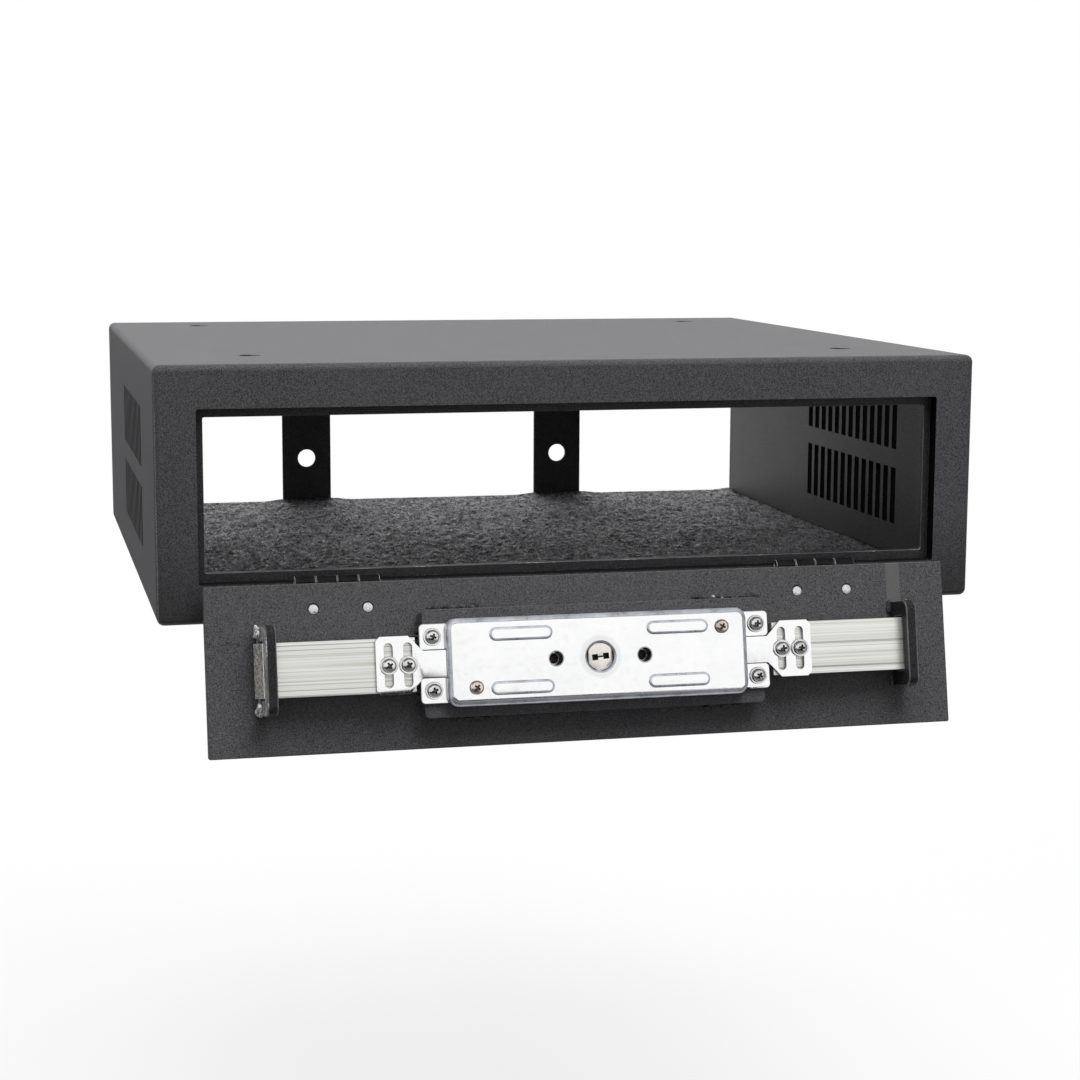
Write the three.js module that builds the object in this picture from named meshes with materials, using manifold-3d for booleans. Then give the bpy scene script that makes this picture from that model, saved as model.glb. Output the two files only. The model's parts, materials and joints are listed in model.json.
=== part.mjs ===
// A steel lock box that hangs under a desk by four keyholes in its top.
// A drop-down door closes its front, and a key lock on the door drives one flat bolt to each side.
// Millimetres. The origin is the centre of the top face: +X right, +Y back, +Z up.
// The door is modelled wide open, with both bolts drawn in.
import * as THREE from "three";
import Module from "manifold-3d";
import { mergeVertices } from "three/addons/utils/BufferGeometryUtils.js";

const wasm = await Module();
wasm.setup();

// Box
const bodyWidth = 400;
const bodyDepth = 370;
const bodyHeight = 120;
const sheet = 2.5;
const edgeRadius = 3.5;
const frameFold = 4;

// Flange round the front opening, its reveal and the stop frame behind the door
const flangeSide = 19.25;
const flangeTop = 20.2;
const flangeBottom = 18.6;
const revealWall = 2;
const stopGap = 0.7;
const stopBar = 4;
const stopSide = 3.6;
const stopRail = 4.4;

// Rear panel: three windows, two straps
const rearRail = 8;
const strapWidth = 30;
const strapSide = 119.5;
const strapHoleRadius = 5.5;
const strapHoleHeight = 34.8;
const windowRadius = 4;

// Vent slots in both sides
const slotCount = 13;
const slotPitch = 10.6;
const slotWidth = 6.6;
const slotLength = 30;
const firstSlot = 93;
const lowerSlotBottom = 23.8;
const slotRowGap = 10;

// Keyholes in the top
const keyholeSide = 49;
const keyholeFront = 60;
const keyholeRear = 40;
const keyholeRadius = 3.25;
const keyholeTailRadius = 1.8;
const keyholeTail = 5.45;

// Carpet on the floor
const carpetThickness = 5;
const carpetMargin = 0.3;

// Door
const doorThickness = 6;
const doorSideGap = 0.75;
const doorTopGap = 1.2;
const doorSink = 0.5;

// Hinges
const hingeSide = 82.6;
const hingeLength = 40;
const hingeRise = 0.5;
const axisOut = 3;
const knuckleCount = 4;
const knuckleGap = 0.3;
const pinRadius = 1.35;
const pinClearance = 0.1;
const leafThickness = 1.5;
const leafEdge = 1.1;
const doorBottomGap = 1;
const rivetSpacing = 25.3;
const rivetEdge = 5;
const rivetRadius = 2.2;
const rivetHeadRadius = 3.8;
const rivetHeadHeight = 2.55;
const headGap = 0.392;

// Clearances
const seat = 0.3;
const holeClearance = 0.3;
const slideClearance = 0.5;

// Black plinth under the lock case
const plinthMargin = 4.75;
const plinthRise = 12;
const plinthWall = 2;
const plinthRadius = 2.5;

// Lock case: base plate with four ears, pressed cover
const coverWidth = 144;
const coverHeight = 40.5;
const coverRise = 5.7;
const coverWall = 1.2;
const coverLedge = 0.8;
const coverBevel = 3.2;
const coverCornerRadius = 5;
const baseThickness = 1.7;
const earSize = 12;
const earInset = 1.95;
const earOverhang = 2;
const earRadius = 2;
const ribLength = 30;
const ribWidth = 6.4;
const ribRise = 0.9;
const ribBevel = 1.2;
const ribEnd = 19.5;
const ribInset = 7.85;
const accessSpacing = 42.4;
const accessRadius = 3.25;
const coverScrewInsetX = 12.8;
const coverScrewInsetY = 8.55;

// Bolts and the plates that drive them
const throwLength = 28;
const barWidth = 25;
const barThickness = 8;
const barPlinthGap = 4;
const barPastGuide = 2;
const barEndSlant = 3.5;
const driveThickness = 1.7;
const driveLap = 1;
const driveLength = 19.6;
const driveMargin = 0.75;
const driveCorner = 2;
const neckWidth = 12.3;
const neckLap = 8;
const shoulder = 4.5;
const driveSlotLength = 20.6;
const driveSlotWidth = 4.2;
const driveScrewEdge = 3.8;
const driveScrewPitch = 9;

// Guides that stand on the door
const guideInset = 23.75;
const guideThickness = 5;
const guideCheek = 8.1;
const guideOver = 6.5;
const guideRadius = 5;
const guideLean = 6;

// Rack and pinion inside the case: one turn of the key moves each bolt by its throw
const toothCount = 10;
const toothAddendum = 0.7;
const toothDedendum = 0.95;
const toothHalfTip = 0.28;
const toothHalfRoot = 0.65;
const rackBack = 8.4;
const rackMargin = 2.5;

// Key cylinder
const housingRadius = 8;
const housingLip = 2;
const housingFlange = 1.2;
const plugRadius = 5;
const plugClearance = 0.1;
const tailRadius = 2.9;
const tailFlatDepth = 0.7;
const nutAcross = 24;
const nutThickness = 5;
const bossRadius = 6.6;
const bossFlatDepth = 0.8;
const bossSink = 0.4;
const bossGap = 0.7;
const bossDish = 0.9;
const keySlotLength = 8.1;
const keySlotLobe = 2.8;
const keySlotNeck = 0.7;
const keySlotDepth = 2.6;
const keySlotTurn = 5;
const frontSlotDepth = 18;

// Escutcheon on the outer side of the door
const escutcheonLength = 60;
const escutcheonWidth = 24;
const escutcheonThickness = 1.5;

// Screws
const panRadius = 3.25;
const panHeight = 2.5;
const washerThickness = 0.8;
const driveWasherRadius = 4.2;
const earWasherRadius = 4.1;
const smallShankRadius = 1.5;
const driveShankRadius = 1.7;
const escutcheonShankRadius = 2;
const escutcheonHeadHeight = 1.2;
const crossLength = 3.6;
const crossWidth = 0.9;
const crossDepth = 1.3;
const crossTurn = 20;
const crossTurnStep = 35;

// Opening, stop and slot rows that follow from the sizes above
const openingHalf = bodyWidth / 2 - flangeSide;
const openingTop = bodyHeight - flangeTop;
const stopDepth = doorSink + doorThickness + stopGap;
const slotRowRise = slotLength + slotRowGap;
const strapSpacing = bodyWidth - 2 * strapSide;

// Hinges and door
const hingeSpacing = bodyWidth - 2 * hingeSide;
const axisZ = flangeBottom + hingeRise;
const knuckleRadius = axisOut - seat;
const leafHeight = axisZ - leafEdge;
const leafRelief = knuckleRadius + 2 * seat;
const rivetReach = leafHeight - rivetEdge;
const doorOuter = axisOut + doorSink;
const doorInner = doorOuter + doorThickness;
const doorHalf = openingHalf - doorSideGap;
const doorTop = openingTop - doorTopGap - axisZ;
const doorMiddle = (doorBottomGap + doorTop) / 2;
const doorLeafFront = doorOuter - seat - leafThickness;

// The door opens until the rivet heads of its leaves meet those of the frame's leaves
const doorHeadOut = rivetHeadHeight + seat - doorLeafFront;
const frameHeadOut = leafThickness + rivetHeadHeight - axisOut;
const headSwing = Math.hypot(doorHeadOut, rivetReach);
const doorStopAngle =
  Math.asin((frameHeadOut + headGap) / headSwing) + Math.atan2(doorHeadOut, rivetReach);
const doorOpenAngle = 180 - (doorStopAngle * 180) / Math.PI;

// Lock case, bolts and guides
const plinthWidth = coverWidth + 2 * (earSize - earOverhang);
const plinthHeight = coverHeight + 2 * plinthMargin;
const baseBottom = plinthRise + seat;
const baseTop = baseBottom + baseThickness;
const driveBottom = baseTop + seat;
const driveTop = driveBottom + driveThickness;
const coverTop = driveBottom + coverRise;
const coverScrewX = coverWidth / 2 - coverScrewInsetX;
const coverScrewY = coverHeight / 2 - coverScrewInsetY;
const coverInset = coverWall + coverLedge;
const ribSpacingX = coverWidth - 2 * ribEnd - ribLength;
const ribSpacingY = coverHeight - 2 * ribInset;
const earSpacing = coverHeight - earSize - 2 * earInset;
const earCentre = coverWidth / 2 + earSize / 2;
const barInner = plinthWidth / 2 + barPlinthGap;
const guideOuter = openingHalf - guideInset;
const barOuter = guideOuter + barPastGuide;
const driveInner = barInner - driveLap;
const driveOuter = driveInner + driveLength;
const driveHeight = barWidth + 2 * driveMargin;
const driveScrewInner = barInner + driveScrewEdge;
const rackStart = coverWidth / 2 - coverInset - slideClearance - throwLength;
const neckEnd = rackStart - neckLap;
const guideWidth = barWidth + 2 * guideCheek;
const guideRise = baseTop + guideOver;

// Rack, pinion and cylinder
const pitchRadius = throwLength / (2 * Math.PI);
const toothPitch = throwLength / toothCount;
const pinionTop = driveTop + slideClearance;
const housingFlangeRadius = housingRadius + housingLip;
const tailFlat = tailRadius - tailFlatDepth;
const bossFlat = bossRadius - bossFlatDepth;
const bossHoleRadius = bossRadius + bossGap;

// Materials
const finish = (color, roughness, metalness) =>
  new THREE.MeshStandardMaterial({ color, roughness, metalness });
const blackCoat = finish(0x2b2b2d, 0.62, 0.1);
const carpet = finish(0x3a383b, 1, 0);
const zinc = finish(0xe6e8ea, 0.3, 0.9);
const brushed = finish(0xdde0d4, 0.35, 0.9);
const bright = finish(0xc9cbcc, 0.2, 1);
const brass = finish(0xc49a62, 0.3, 1);
const nickel = finish(0xe9e2d2, 0.4, 0.6);

// A closed three.js geometry as a solid that can be joined and cut
function solidOf(geometry) {
  const bare = geometry.clone();
  bare.deleteAttribute("normal");
  bare.deleteAttribute("uv");
  const merged = mergeVertices(bare, 1e-4);
  return new wasm.Manifold(
    new wasm.Mesh({
      numProp: 3,
      vertProperties: merged.attributes.position.array,
      triVerts: new Uint32Array(merged.index.array),
    }),
  );
}

// The solid as a named mesh with flat faces
function meshOf(name, solid, material) {
  const result = solid.getMesh();
  const indexed = new THREE.BufferGeometry();
  const corners = new Float32Array(result.vertProperties);
  indexed.setAttribute("position", new THREE.BufferAttribute(corners, 3));
  indexed.setIndex(new THREE.BufferAttribute(new Uint32Array(result.triVerts), 1));
  const geometry = indexed.toNonIndexed();
  geometry.computeVertexNormals();
  const mesh = new THREE.Mesh(geometry, material);
  mesh.name = name;
  return mesh;
}

const joined = (solids) => solids.reduce((sum, piece) => sum.add(piece));
const without = (solid, cuts) => cuts.reduce((rest, cut) => rest.subtract(cut), solid);

// A box between two corners
function block(x0, x1, y0, y1, z0, z1) {
  const geometry = new THREE.BoxGeometry(x1 - x0, y1 - y0, z1 - z0);
  geometry.translate((x0 + x1) / 2, (y0 + y1) / 2, (z0 + z1) / 2);
  return solidOf(geometry);
}

function rectangle(x0, x1, y0, y1, radius) {
  const outline = new THREE.Shape();
  outline.moveTo(x0 + radius, y0);
  outline.lineTo(x1 - radius, y0);
  outline.absarc(x1 - radius, y0 + radius, radius, -Math.PI / 2, 0);
  outline.lineTo(x1, y1 - radius);
  outline.absarc(x1 - radius, y1 - radius, radius, 0, Math.PI / 2);
  outline.lineTo(x0 + radius, y1);
  outline.absarc(x0 + radius, y1 - radius, radius, Math.PI / 2, Math.PI);
  outline.lineTo(x0, y0 + radius);
  outline.absarc(x0 + radius, y0 + radius, radius, Math.PI, 1.5 * Math.PI);
  return outline;
}

function polygon(points) {
  return new THREE.Shape(points.map(([x, y]) => new THREE.Vector2(x, y)));
}

// An outline in X and Y, raised from z0 to z1
function raised(outline, z0, z1, curveSegments = 2) {
  const geometry = new THREE.ExtrudeGeometry(outline, {
    depth: z1 - z0,
    bevelEnabled: false,
    curveSegments,
  });
  geometry.translate(0, 0, z0);
  return solidOf(geometry);
}

// Corner points of a rounded rectangle, anticlockwise
function ring(x0, x1, y0, y1, radius, steps) {
  const points = [];
  const centres = [
    [x1 - radius, y0 + radius],
    [x1 - radius, y1 - radius],
    [x0 + radius, y1 - radius],
    [x0 + radius, y0 + radius],
  ];
  centres.forEach(([cx, cy], corner) => {
    for (let step = 0; step <= steps; step += 1) {
      const angle = (corner - 1 + step / steps) * (Math.PI / 2);
      points.push([cx + radius * Math.cos(angle), cy + radius * Math.sin(angle)]);
    }
  });
  return points;
}

// A rounded rectangle from z0 to z1 whose upper edge is rounded, by inset sideways and by drop
// downwards
function domed(x0, x1, y0, y1, radius, z0, z1, inset, drop, cornerSteps, edgeSteps) {
  const layers = [{ shrink: 0, z: z0 }];
  for (let step = 0; step <= edgeSteps; step += 1) {
    const angle = (step / edgeSteps) * (Math.PI / 2);
    layers.push({
      shrink: inset * (1 - Math.cos(angle)),
      z: z1 - drop + drop * Math.sin(angle),
    });
  }
  const positions = [];
  for (const { shrink, z } of layers) {
    const corner = Math.max(radius - shrink, 0.2);
    const outline = ring(
      x0 + shrink,
      x1 - shrink,
      y0 + shrink,
      y1 - shrink,
      corner,
      cornerSteps,
    );
    for (const [x, y] of outline) positions.push(x, y, z);
  }
  const size = 4 * (cornerSteps + 1);
  const last = (layers.length - 1) * size;
  const low = layers.length * size;
  positions.push((x0 + x1) / 2, (y0 + y1) / 2, z0, (x0 + x1) / 2, (y0 + y1) / 2, z1);
  const index = [];
  for (let k = 0; k < size; k += 1) {
    const next = (k + 1) % size;
    for (let layer = 0; layer < last; layer += size) {
      index.push(layer + k, layer + next, layer + size + next);
      index.push(layer + k, layer + size + next, layer + size + k);
    }
    index.push(low, next, k);
    index.push(low + 1, last + k, last + next);
  }
  const geometry = new THREE.BufferGeometry();
  geometry.setAttribute("position", new THREE.Float32BufferAttribute(positions, 3));
  geometry.setIndex(index);
  return solidOf(geometry);
}

// An outline in X and Z, filled from y0 to y1
function upright(outline, y0, y1, curveSegments = 2) {
  const geometry = new THREE.ExtrudeGeometry(outline, {
    depth: y1 - y0,
    bevelEnabled: false,
    curveSegments,
  });
  geometry.rotateX(Math.PI / 2);
  geometry.translate(0, y1, 0);
  return solidOf(geometry);
}

// A round bar along Z
function rod(radius, z0, z1, x = 0, y = 0, sides = 16) {
  const geometry = new THREE.CylinderGeometry(radius, radius, z1 - z0, sides);
  geometry.rotateX(Math.PI / 2);
  geometry.translate(x, y, (z0 + z1) / 2);
  return solidOf(geometry);
}

// A round bar along Y
function rodY(radius, y0, y1, x, z, sides = 16) {
  const geometry = new THREE.CylinderGeometry(radius, radius, y1 - y0, sides);
  geometry.translate(x, (y0 + y1) / 2, z);
  return solidOf(geometry);
}

// A round bar along X on the hinge axis
function rodX(radius, x0, x1, y, z, sides = 16) {
  const geometry = new THREE.CylinderGeometry(radius, radius, x1 - x0, sides);
  geometry.rotateZ(Math.PI / 2);
  geometry.translate((x0 + x1) / 2, y, z);
  return solidOf(geometry);
}

// A turned body about Z from [radius, z] points
function turned(points, sides = 16) {
  const profile = points.map(([radius, z]) => new THREE.Vector2(radius, z));
  const geometry = new THREE.LatheGeometry(profile, sides);
  geometry.rotateX(Math.PI / 2);
  return solidOf(geometry);
}

function diskShape(radius, flat) {
  const outline = new THREE.Shape();
  const corner = Math.acos(flat / radius);
  outline.absarc(0, 0, radius, corner, Math.PI - corner);
  outline.absarc(0, 0, radius, Math.PI + corner, 2 * Math.PI - corner);
  return outline;
}

// Box shell: top, bottom and sides in one bent sheet
function shell() {
  const half = bodyWidth / 2;
  const outer = rectangle(-half, half, 0, bodyHeight, edgeRadius);
  const inner = rectangle(
    sheet - half,
    half - sheet,
    sheet,
    bodyHeight - sheet,
    Math.max(edgeRadius - sheet, 0.5),
  );
  outer.holes.push(inner);
  const wrap = upright(outer, frameFold, bodyDepth - sheet);
  return without(wrap, [...ventSlots(), ...keyholes()]);
}

function ventSlots() {
  const cuts = [];
  const half = bodyWidth / 2;
  for (const side of [-1, 1]) {
    for (const bottom of [lowerSlotBottom, lowerSlotBottom + slotRowRise]) {
      for (let index = 0; index < slotCount; index += 1) {
        const y = firstSlot + index * slotPitch;
        const inside = side * (half - 2 * sheet);
        const outside = side * (half + sheet);
        cuts.push(
          block(
            Math.min(inside, outside),
            Math.max(inside, outside),
            y - slotWidth / 2,
            y + slotWidth / 2,
            bottom,
            bottom + slotLength,
          ),
        );
      }
    }
  }
  return cuts;
}

function keyholes() {
  const cuts = [];
  const low = bodyHeight - 2 * sheet;
  const high = bodyHeight + sheet;
  for (const x of [keyholeSide - bodyWidth / 2, bodyWidth / 2 - keyholeSide]) {
    for (const y of [keyholeFront, bodyDepth - keyholeRear]) {
      const entry = rod(keyholeRadius, low, high, x, y, 20);
      const end = rod(keyholeTailRadius, low, high, x + keyholeTail, y, 16);
      const slot = block(
        x,
        x + keyholeTail,
        y - keyholeTailRadius,
        y + keyholeTailRadius,
        low,
        high,
      );
      cuts.push(joined([entry, end, slot]));
    }
  }
  return cuts;
}

// The opening's outline, made wider by a margin at its sides and another above and below
function openingOutline(side, rail, radius = 1) {
  const half = openingHalf + side;
  return rectangle(-half, half, flangeBottom - rail, openingTop + rail, radius);
}

// Front frame: a flange with rounded outer edges and a reveal folded in round the opening
function frontFrame() {
  const half = bodyWidth / 2;
  const pad = domed(
    -half,
    half,
    0,
    bodyHeight,
    edgeRadius,
    -frameFold,
    0,
    edgeRadius - 0.5,
    edgeRadius - 0.5,
    6,
    4,
  ).rotate([90, 0, 0]);
  const hollow = block(
    sheet - half,
    half - sheet,
    sheet,
    frameFold + 1,
    sheet,
    bodyHeight - sheet,
  );
  const outline = openingOutline(revealWall, revealWall, 1.5);
  const reveal = upright(outline, sheet / 2, stopDepth + stopBar);
  const opening = upright(openingOutline(0, 0), -1, stopDepth + stopBar + 1);
  const holes = rivetPlaces().map((x) =>
    rodY(rivetRadius + holeClearance, -1, sheet + 1, x, axisZ - rivetReach, 12),
  );
  return without(pad.subtract(hollow).add(reveal), [opening, ...holes]);
}

function stopFrame() {
  const frame = openingOutline(0, 0);
  frame.holes.push(openingOutline(-stopSide, -stopRail, 0.8));
  return upright(frame, stopDepth, stopDepth + stopBar);
}

// Rear panel: windows from wall to strap, and one screw hole in each strap
function rearPanel() {
  const half = bodyWidth / 2;
  const outline = rectangle(-half, half, 0, bodyHeight, edgeRadius);
  const strapEdges = [sheet - half];
  for (const centre of [-strapSpacing / 2, strapSpacing / 2]) {
    strapEdges.push(centre - strapWidth / 2, centre + strapWidth / 2);
  }
  strapEdges.push(half - sheet);
  for (let index = 0; index < strapEdges.length; index += 2) {
    outline.holes.push(
      rectangle(
        strapEdges[index],
        strapEdges[index + 1],
        rearRail,
        bodyHeight - rearRail,
        windowRadius,
      ),
    );
  }
  const panel = upright(outline, bodyDepth - sheet, bodyDepth);
  const holes = [-strapSpacing / 2, strapSpacing / 2].map((x) =>
    rodY(strapHoleRadius, bodyDepth - 2 * sheet, bodyDepth + sheet, x, strapHoleHeight),
  );
  return without(panel, holes);
}

function carpetSheet() {
  const half = bodyWidth / 2 - Math.max(edgeRadius, sheet) - carpetMargin;
  return block(
    -half,
    half,
    frameFold + carpetMargin,
    bodyDepth - sheet - carpetMargin,
    sheet,
    sheet + carpetThickness,
  );
}

function rivetPlaces() {
  return [-hingeSpacing / 2, hingeSpacing / 2].flatMap((hinge) => [
    hinge - rivetSpacing / 2,
    hinge + rivetSpacing / 2,
  ]);
}

// One leaf of a hinge about the X axis, knuckles included. The leaf hangs down from the axis,
// and side picks the odd or the even knuckles.
function leaf(side, plateFront, holeHeights) {
  const length = hingeLength / knuckleCount;
  const start = -hingeLength / 2;
  const plate = block(
    start,
    -start,
    plateFront,
    plateFront + leafThickness,
    -leafHeight,
    0,
  );
  const pieces = [];
  const reliefs = [];
  for (let index = 0; index < knuckleCount; index += 1) {
    const x0 = start + index * length;
    const x1 = x0 + length;
    if (index % 2 === side) {
      pieces.push(rodX(knuckleRadius, x0 + knuckleGap / 2, x1 - knuckleGap / 2, 0, 0));
    } else {
      reliefs.push(
        block(
          x0 - knuckleGap / 2,
          x1 + knuckleGap / 2,
          plateFront - 1,
          plateFront + leafThickness + 1,
          -leafRelief,
          1,
        ),
      );
    }
  }
  const bore = rodX(pinRadius + pinClearance, start - 1, 1 - start, 0, 0, 12);
  const holes = holeHeights.flatMap((z) =>
    [-rivetSpacing / 2, rivetSpacing / 2].map((x) =>
      rodY(rivetRadius + holeClearance, plateFront - 1, plateFront + leafThickness + 1, x, z, 12),
    ),
  );
  return without(without(plate, reliefs).add(joined(pieces)), [bore, ...holes]);
}

// Round-headed rivet along Y: its head grows towards -Y from y = 0, its shank runs to +Y
function rivet(shankLength) {
  const profile = [[0, -shankLength]];
  profile.push([rivetRadius, -shankLength], [rivetRadius, 0], [rivetHeadRadius, 0]);
  const steps = 4;
  for (let step = 1; step < steps; step += 1) {
    const angle = (step / steps) * (Math.PI / 2);
    profile.push([
      rivetHeadRadius * Math.cos(angle),
      0.3 + (rivetHeadHeight - 0.3) * Math.sin(angle),
    ]);
  }
  profile.push([0, rivetHeadHeight]);
  return turned(profile, 12).rotate([90, 0, 0]);
}

// Door plate with its rivet holes and the cylinder and screw holes of the lock
function doorPlate() {
  const outline = rectangle(-doorHalf, doorHalf, doorBottomGap, doorTop, 0.8);
  const plate = upright(outline, doorOuter, doorInner);
  const cuts = rivetPlaces().map((x) =>
    rodY(rivetRadius + holeClearance, doorOuter - 1, doorInner + 1, x, rivetReach, 12),
  );
  cuts.push(
    rodY(housingRadius + holeClearance, doorOuter - 1, doorInner + 1, 0, doorMiddle),
  );
  for (const x of [-accessSpacing / 2, accessSpacing / 2]) {
    cuts.push(
      rodY(
        escutcheonShankRadius + holeClearance,
        doorOuter - 1,
        doorInner + 1,
        x,
        doorMiddle,
        16,
      ),
    );
  }
  return without(plate, cuts);
}

// Holes that the case's fasteners and cylinder need in a plate of the lock
function lockHoles(z0, z1, withEars) {
  const holes = [rod(housingRadius + holeClearance, z0, z1)];
  for (const x of [-accessSpacing / 2, accessSpacing / 2]) {
    holes.push(rod(escutcheonShankRadius + holeClearance, z0, z1, x, 0, 12));
  }
  if (withEars) {
    for (const [x, y] of earPlaces()) {
      holes.push(rod(smallShankRadius + holeClearance, z0, z1, x, y, 12));
    }
  }
  return holes;
}

function earPlaces() {
  const places = [];
  for (const x of [-earCentre, earCentre]) {
    for (const y of [-earSpacing / 2, earSpacing / 2]) places.push([x, y]);
  }
  return places;
}

// Plinth: a shallow pan, open towards the door
function plinth() {
  const x = plinthWidth / 2;
  const y = plinthHeight / 2;
  const pan = raised(rectangle(-x, x, -y, y, plinthRadius), seat, plinthRise);
  const hollow = block(
    plinthWall - x,
    x - plinthWall,
    plinthWall - y,
    y - plinthWall,
    seat - 1,
    plinthRise - plinthWall,
  );
  return without(pan, [hollow, ...lockHoles(0, plinthRise + 1, true)]);
}

function basePlate() {
  const x = coverWidth / 2;
  const y = coverHeight / 2;
  const plate = raised(rectangle(-x, x, -y, y, coverCornerRadius), baseBottom, baseTop);
  const ears = earPlaces().map(([ex, ey]) => {
    const inward = Math.sign(ex) * earRadius;
    return raised(
      rectangle(
        ex - earSize / 2 - Math.max(inward, 0),
        ex + earSize / 2 - Math.min(inward, 0),
        ey - earSize / 2,
        ey + earSize / 2,
        earRadius,
      ),
      baseBottom,
      baseTop,
    );
  });
  const whole = plate.add(joined(ears));
  const holes = lockHoles(baseBottom - 1, baseTop + 1, true);
  for (const side of [-1, 1]) {
    holes.push(
      rod(
        smallShankRadius + holeClearance,
        baseBottom - 1,
        baseTop + 1,
        side * coverScrewX,
        side * coverScrewY,
        16,
      ),
    );
  }
  return without(whole, holes);
}

// Cover: pressed box with rounded upper edges, four raised ribs and its holes
function cover() {
  const x = coverWidth / 2;
  const y = coverHeight / 2;
  const cap = domed(
    -x,
    x,
    -y,
    y,
    coverCornerRadius,
    driveBottom,
    coverTop,
    coverBevel,
    coverBevel,
    6,
    4,
  );
  const hollow = raised(
    rectangle(
      coverInset - x,
      x - coverInset,
      coverInset - y,
      y - coverInset,
      coverCornerRadius - coverInset,
    ),
    driveBottom - 1,
    coverTop - coverWall,
  );
  const ribs = [];
  for (const cx of [-ribSpacingX / 2, ribSpacingX / 2]) {
    for (const cy of [-ribSpacingY / 2, ribSpacingY / 2]) ribs.push(rib(cx, cy));
  }
  const neck = neckWidth / 2 + slideClearance;
  const cuts = [
    hollow,
    block(-x - 1, x + 1, -neck, neck, driveBottom - 1, driveTop + slideClearance),
    rod(bossHoleRadius, coverTop - 2 * coverWall, coverTop + 1, 0, 0, 32),
    dish(),
  ];
  for (const cx of [-accessSpacing / 2, accessSpacing / 2]) {
    cuts.push(rod(accessRadius, coverTop - 2 * coverWall, coverTop + 1, cx, 0, 20));
  }
  for (const side of [-1, 1]) {
    cuts.push(
      rod(
        smallShankRadius + holeClearance,
        coverTop - 2 * coverWall,
        coverTop + 1,
        side * coverScrewX,
        side * coverScrewY,
        16,
      ),
    );
  }
  return without(cap.add(joined(ribs)), cuts);
}

function rib(x, y) {
  return domed(
    x - ribLength / 2,
    x + ribLength / 2,
    y - ribWidth / 2,
    y + ribWidth / 2,
    ribWidth / 2 - 0.01,
    coverTop - coverWall / 2,
    coverTop + ribRise,
    ribBevel,
    ribRise,
    4,
    2,
  );
}

function dish() {
  return turned(
    [
      [0, coverTop - bossDish],
      [bossHoleRadius, coverTop - bossDish],
      [bossHoleRadius + bossDish, coverTop + 0.01],
      [bossHoleRadius + bossDish, coverTop + 1],
      [0, coverTop + 1],
    ],
    32,
  );
}

// Drive plate of the left bolt: slotted head, neck into the case, and a rack past the pinion
function drivePlate() {
  const half = driveHeight / 2;
  const neck = neckWidth / 2;
  const outline = polygon([
    [-driveOuter + driveCorner, -half],
    [-driveInner - shoulder, -half],
    [-driveInner, -neck - shoulder / 2],
    [-driveInner + shoulder / 2, -neck],
    [-rackStart, -neck],
    [-rackStart, -rackBack],
    [-neckEnd, -rackBack],
    [-neckEnd, neck],
    [-driveInner + shoulder / 2, neck],
    [-driveInner, neck + shoulder / 2],
    [-driveInner - shoulder, half],
    [-driveOuter + driveCorner, half],
    [-driveOuter, half - driveCorner],
    [-driveOuter, -half + driveCorner],
  ]);
  for (const x of driveScrewPlaces()) {
    outline.holes.push(
      rectangle(
        x - driveSlotWidth / 2,
        x + driveSlotWidth / 2,
        -driveSlotLength / 2,
        driveSlotLength / 2,
        driveSlotWidth / 2 - 0.01,
      ),
    );
  }
  const rack = raised(rackOutline(), driveBottom, driveTop);
  return raised(outline, driveBottom, driveTop).add(rack);
}

function driveScrewPlaces() {
  return [-driveScrewInner, -driveScrewInner - driveScrewPitch];
}

function rackOutline() {
  const root = -pitchRadius - toothDedendum;
  const tip = -pitchRadius + toothAddendum;
  const end = throwLength + rackMargin;
  const points = [
    [-neckEnd - 2, -rackBack],
    [end, -rackBack],
    [end, root],
  ];
  for (let index = toothCount; index >= -1; index -= 1) {
    const x = index * toothPitch;
    points.push([x + toothHalfRoot, root], [x + toothHalfTip, tip]);
    points.push([x - toothHalfTip, tip], [x - toothHalfRoot, root]);
  }
  points.push([-neckEnd - 2, root]);
  return polygon(points);
}

// Pinion on the plug's tail, with the double-D boss that shows through the cover
function pinion() {
  const points = [];
  const root = pitchRadius - toothDedendum;
  const tip = pitchRadius + toothAddendum;
  for (let index = 0; index < toothCount; index += 1) {
    const angle = (index * 2 * Math.PI) / toothCount;
    for (const [radius, offset] of [
      [root, -toothHalfRoot],
      [tip, -toothHalfTip],
      [tip, toothHalfTip],
      [root, toothHalfRoot],
    ]) {
      points.push([
        radius * Math.cos(angle) - offset * Math.sin(angle),
        radius * Math.sin(angle) + offset * Math.cos(angle),
      ]);
    }
  }
  const gear = raised(polygon(points), driveBottom, pinionTop);
  const bossTop = coverTop - bossSink;
  const boss = raised(diskShape(bossRadius, bossFlat), pinionTop, bossTop, 6);
  const bore = raised(
    diskShape(tailRadius + plugClearance, tailFlat + plugClearance),
    driveBottom - 1,
    pinionTop + seat,
    6,
  );
  return without(gear.add(boss), [bore, keySlot(bossTop - keySlotDepth, bossTop + 1)]);
}

// Two square lobes and a thin neck, for a double-bitted key
function keySlot(z0, z1) {
  const half = keySlotLength / 2;
  const lobe = keySlotLobe;
  const outer = block(-half, half, -keySlotNeck / 2, keySlotNeck / 2, z0, z1);
  const left = block(-half, lobe - half, -lobe / 2, lobe / 2, z0, z1);
  const right = block(half - lobe, half, -lobe / 2, lobe / 2, z0, z1);
  return joined([outer, left, right]).rotate([0, 0, keySlotTurn]);
}

// Plug: round barrel in the housing, double-D tail in the pinion
function plug() {
  const front = doorOuter - doorInner - seat - escutcheonThickness - housingFlange;
  const barrel = rod(plugRadius, front, baseTop, 0, 0, 24);
  const tail = raised(diskShape(tailRadius, tailFlat), baseTop - 1, pinionTop, 3);
  const slot = keySlot(front - 1, front + frontSlotDepth);
  return barrel.add(tail).subtract(slot);
}

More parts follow.
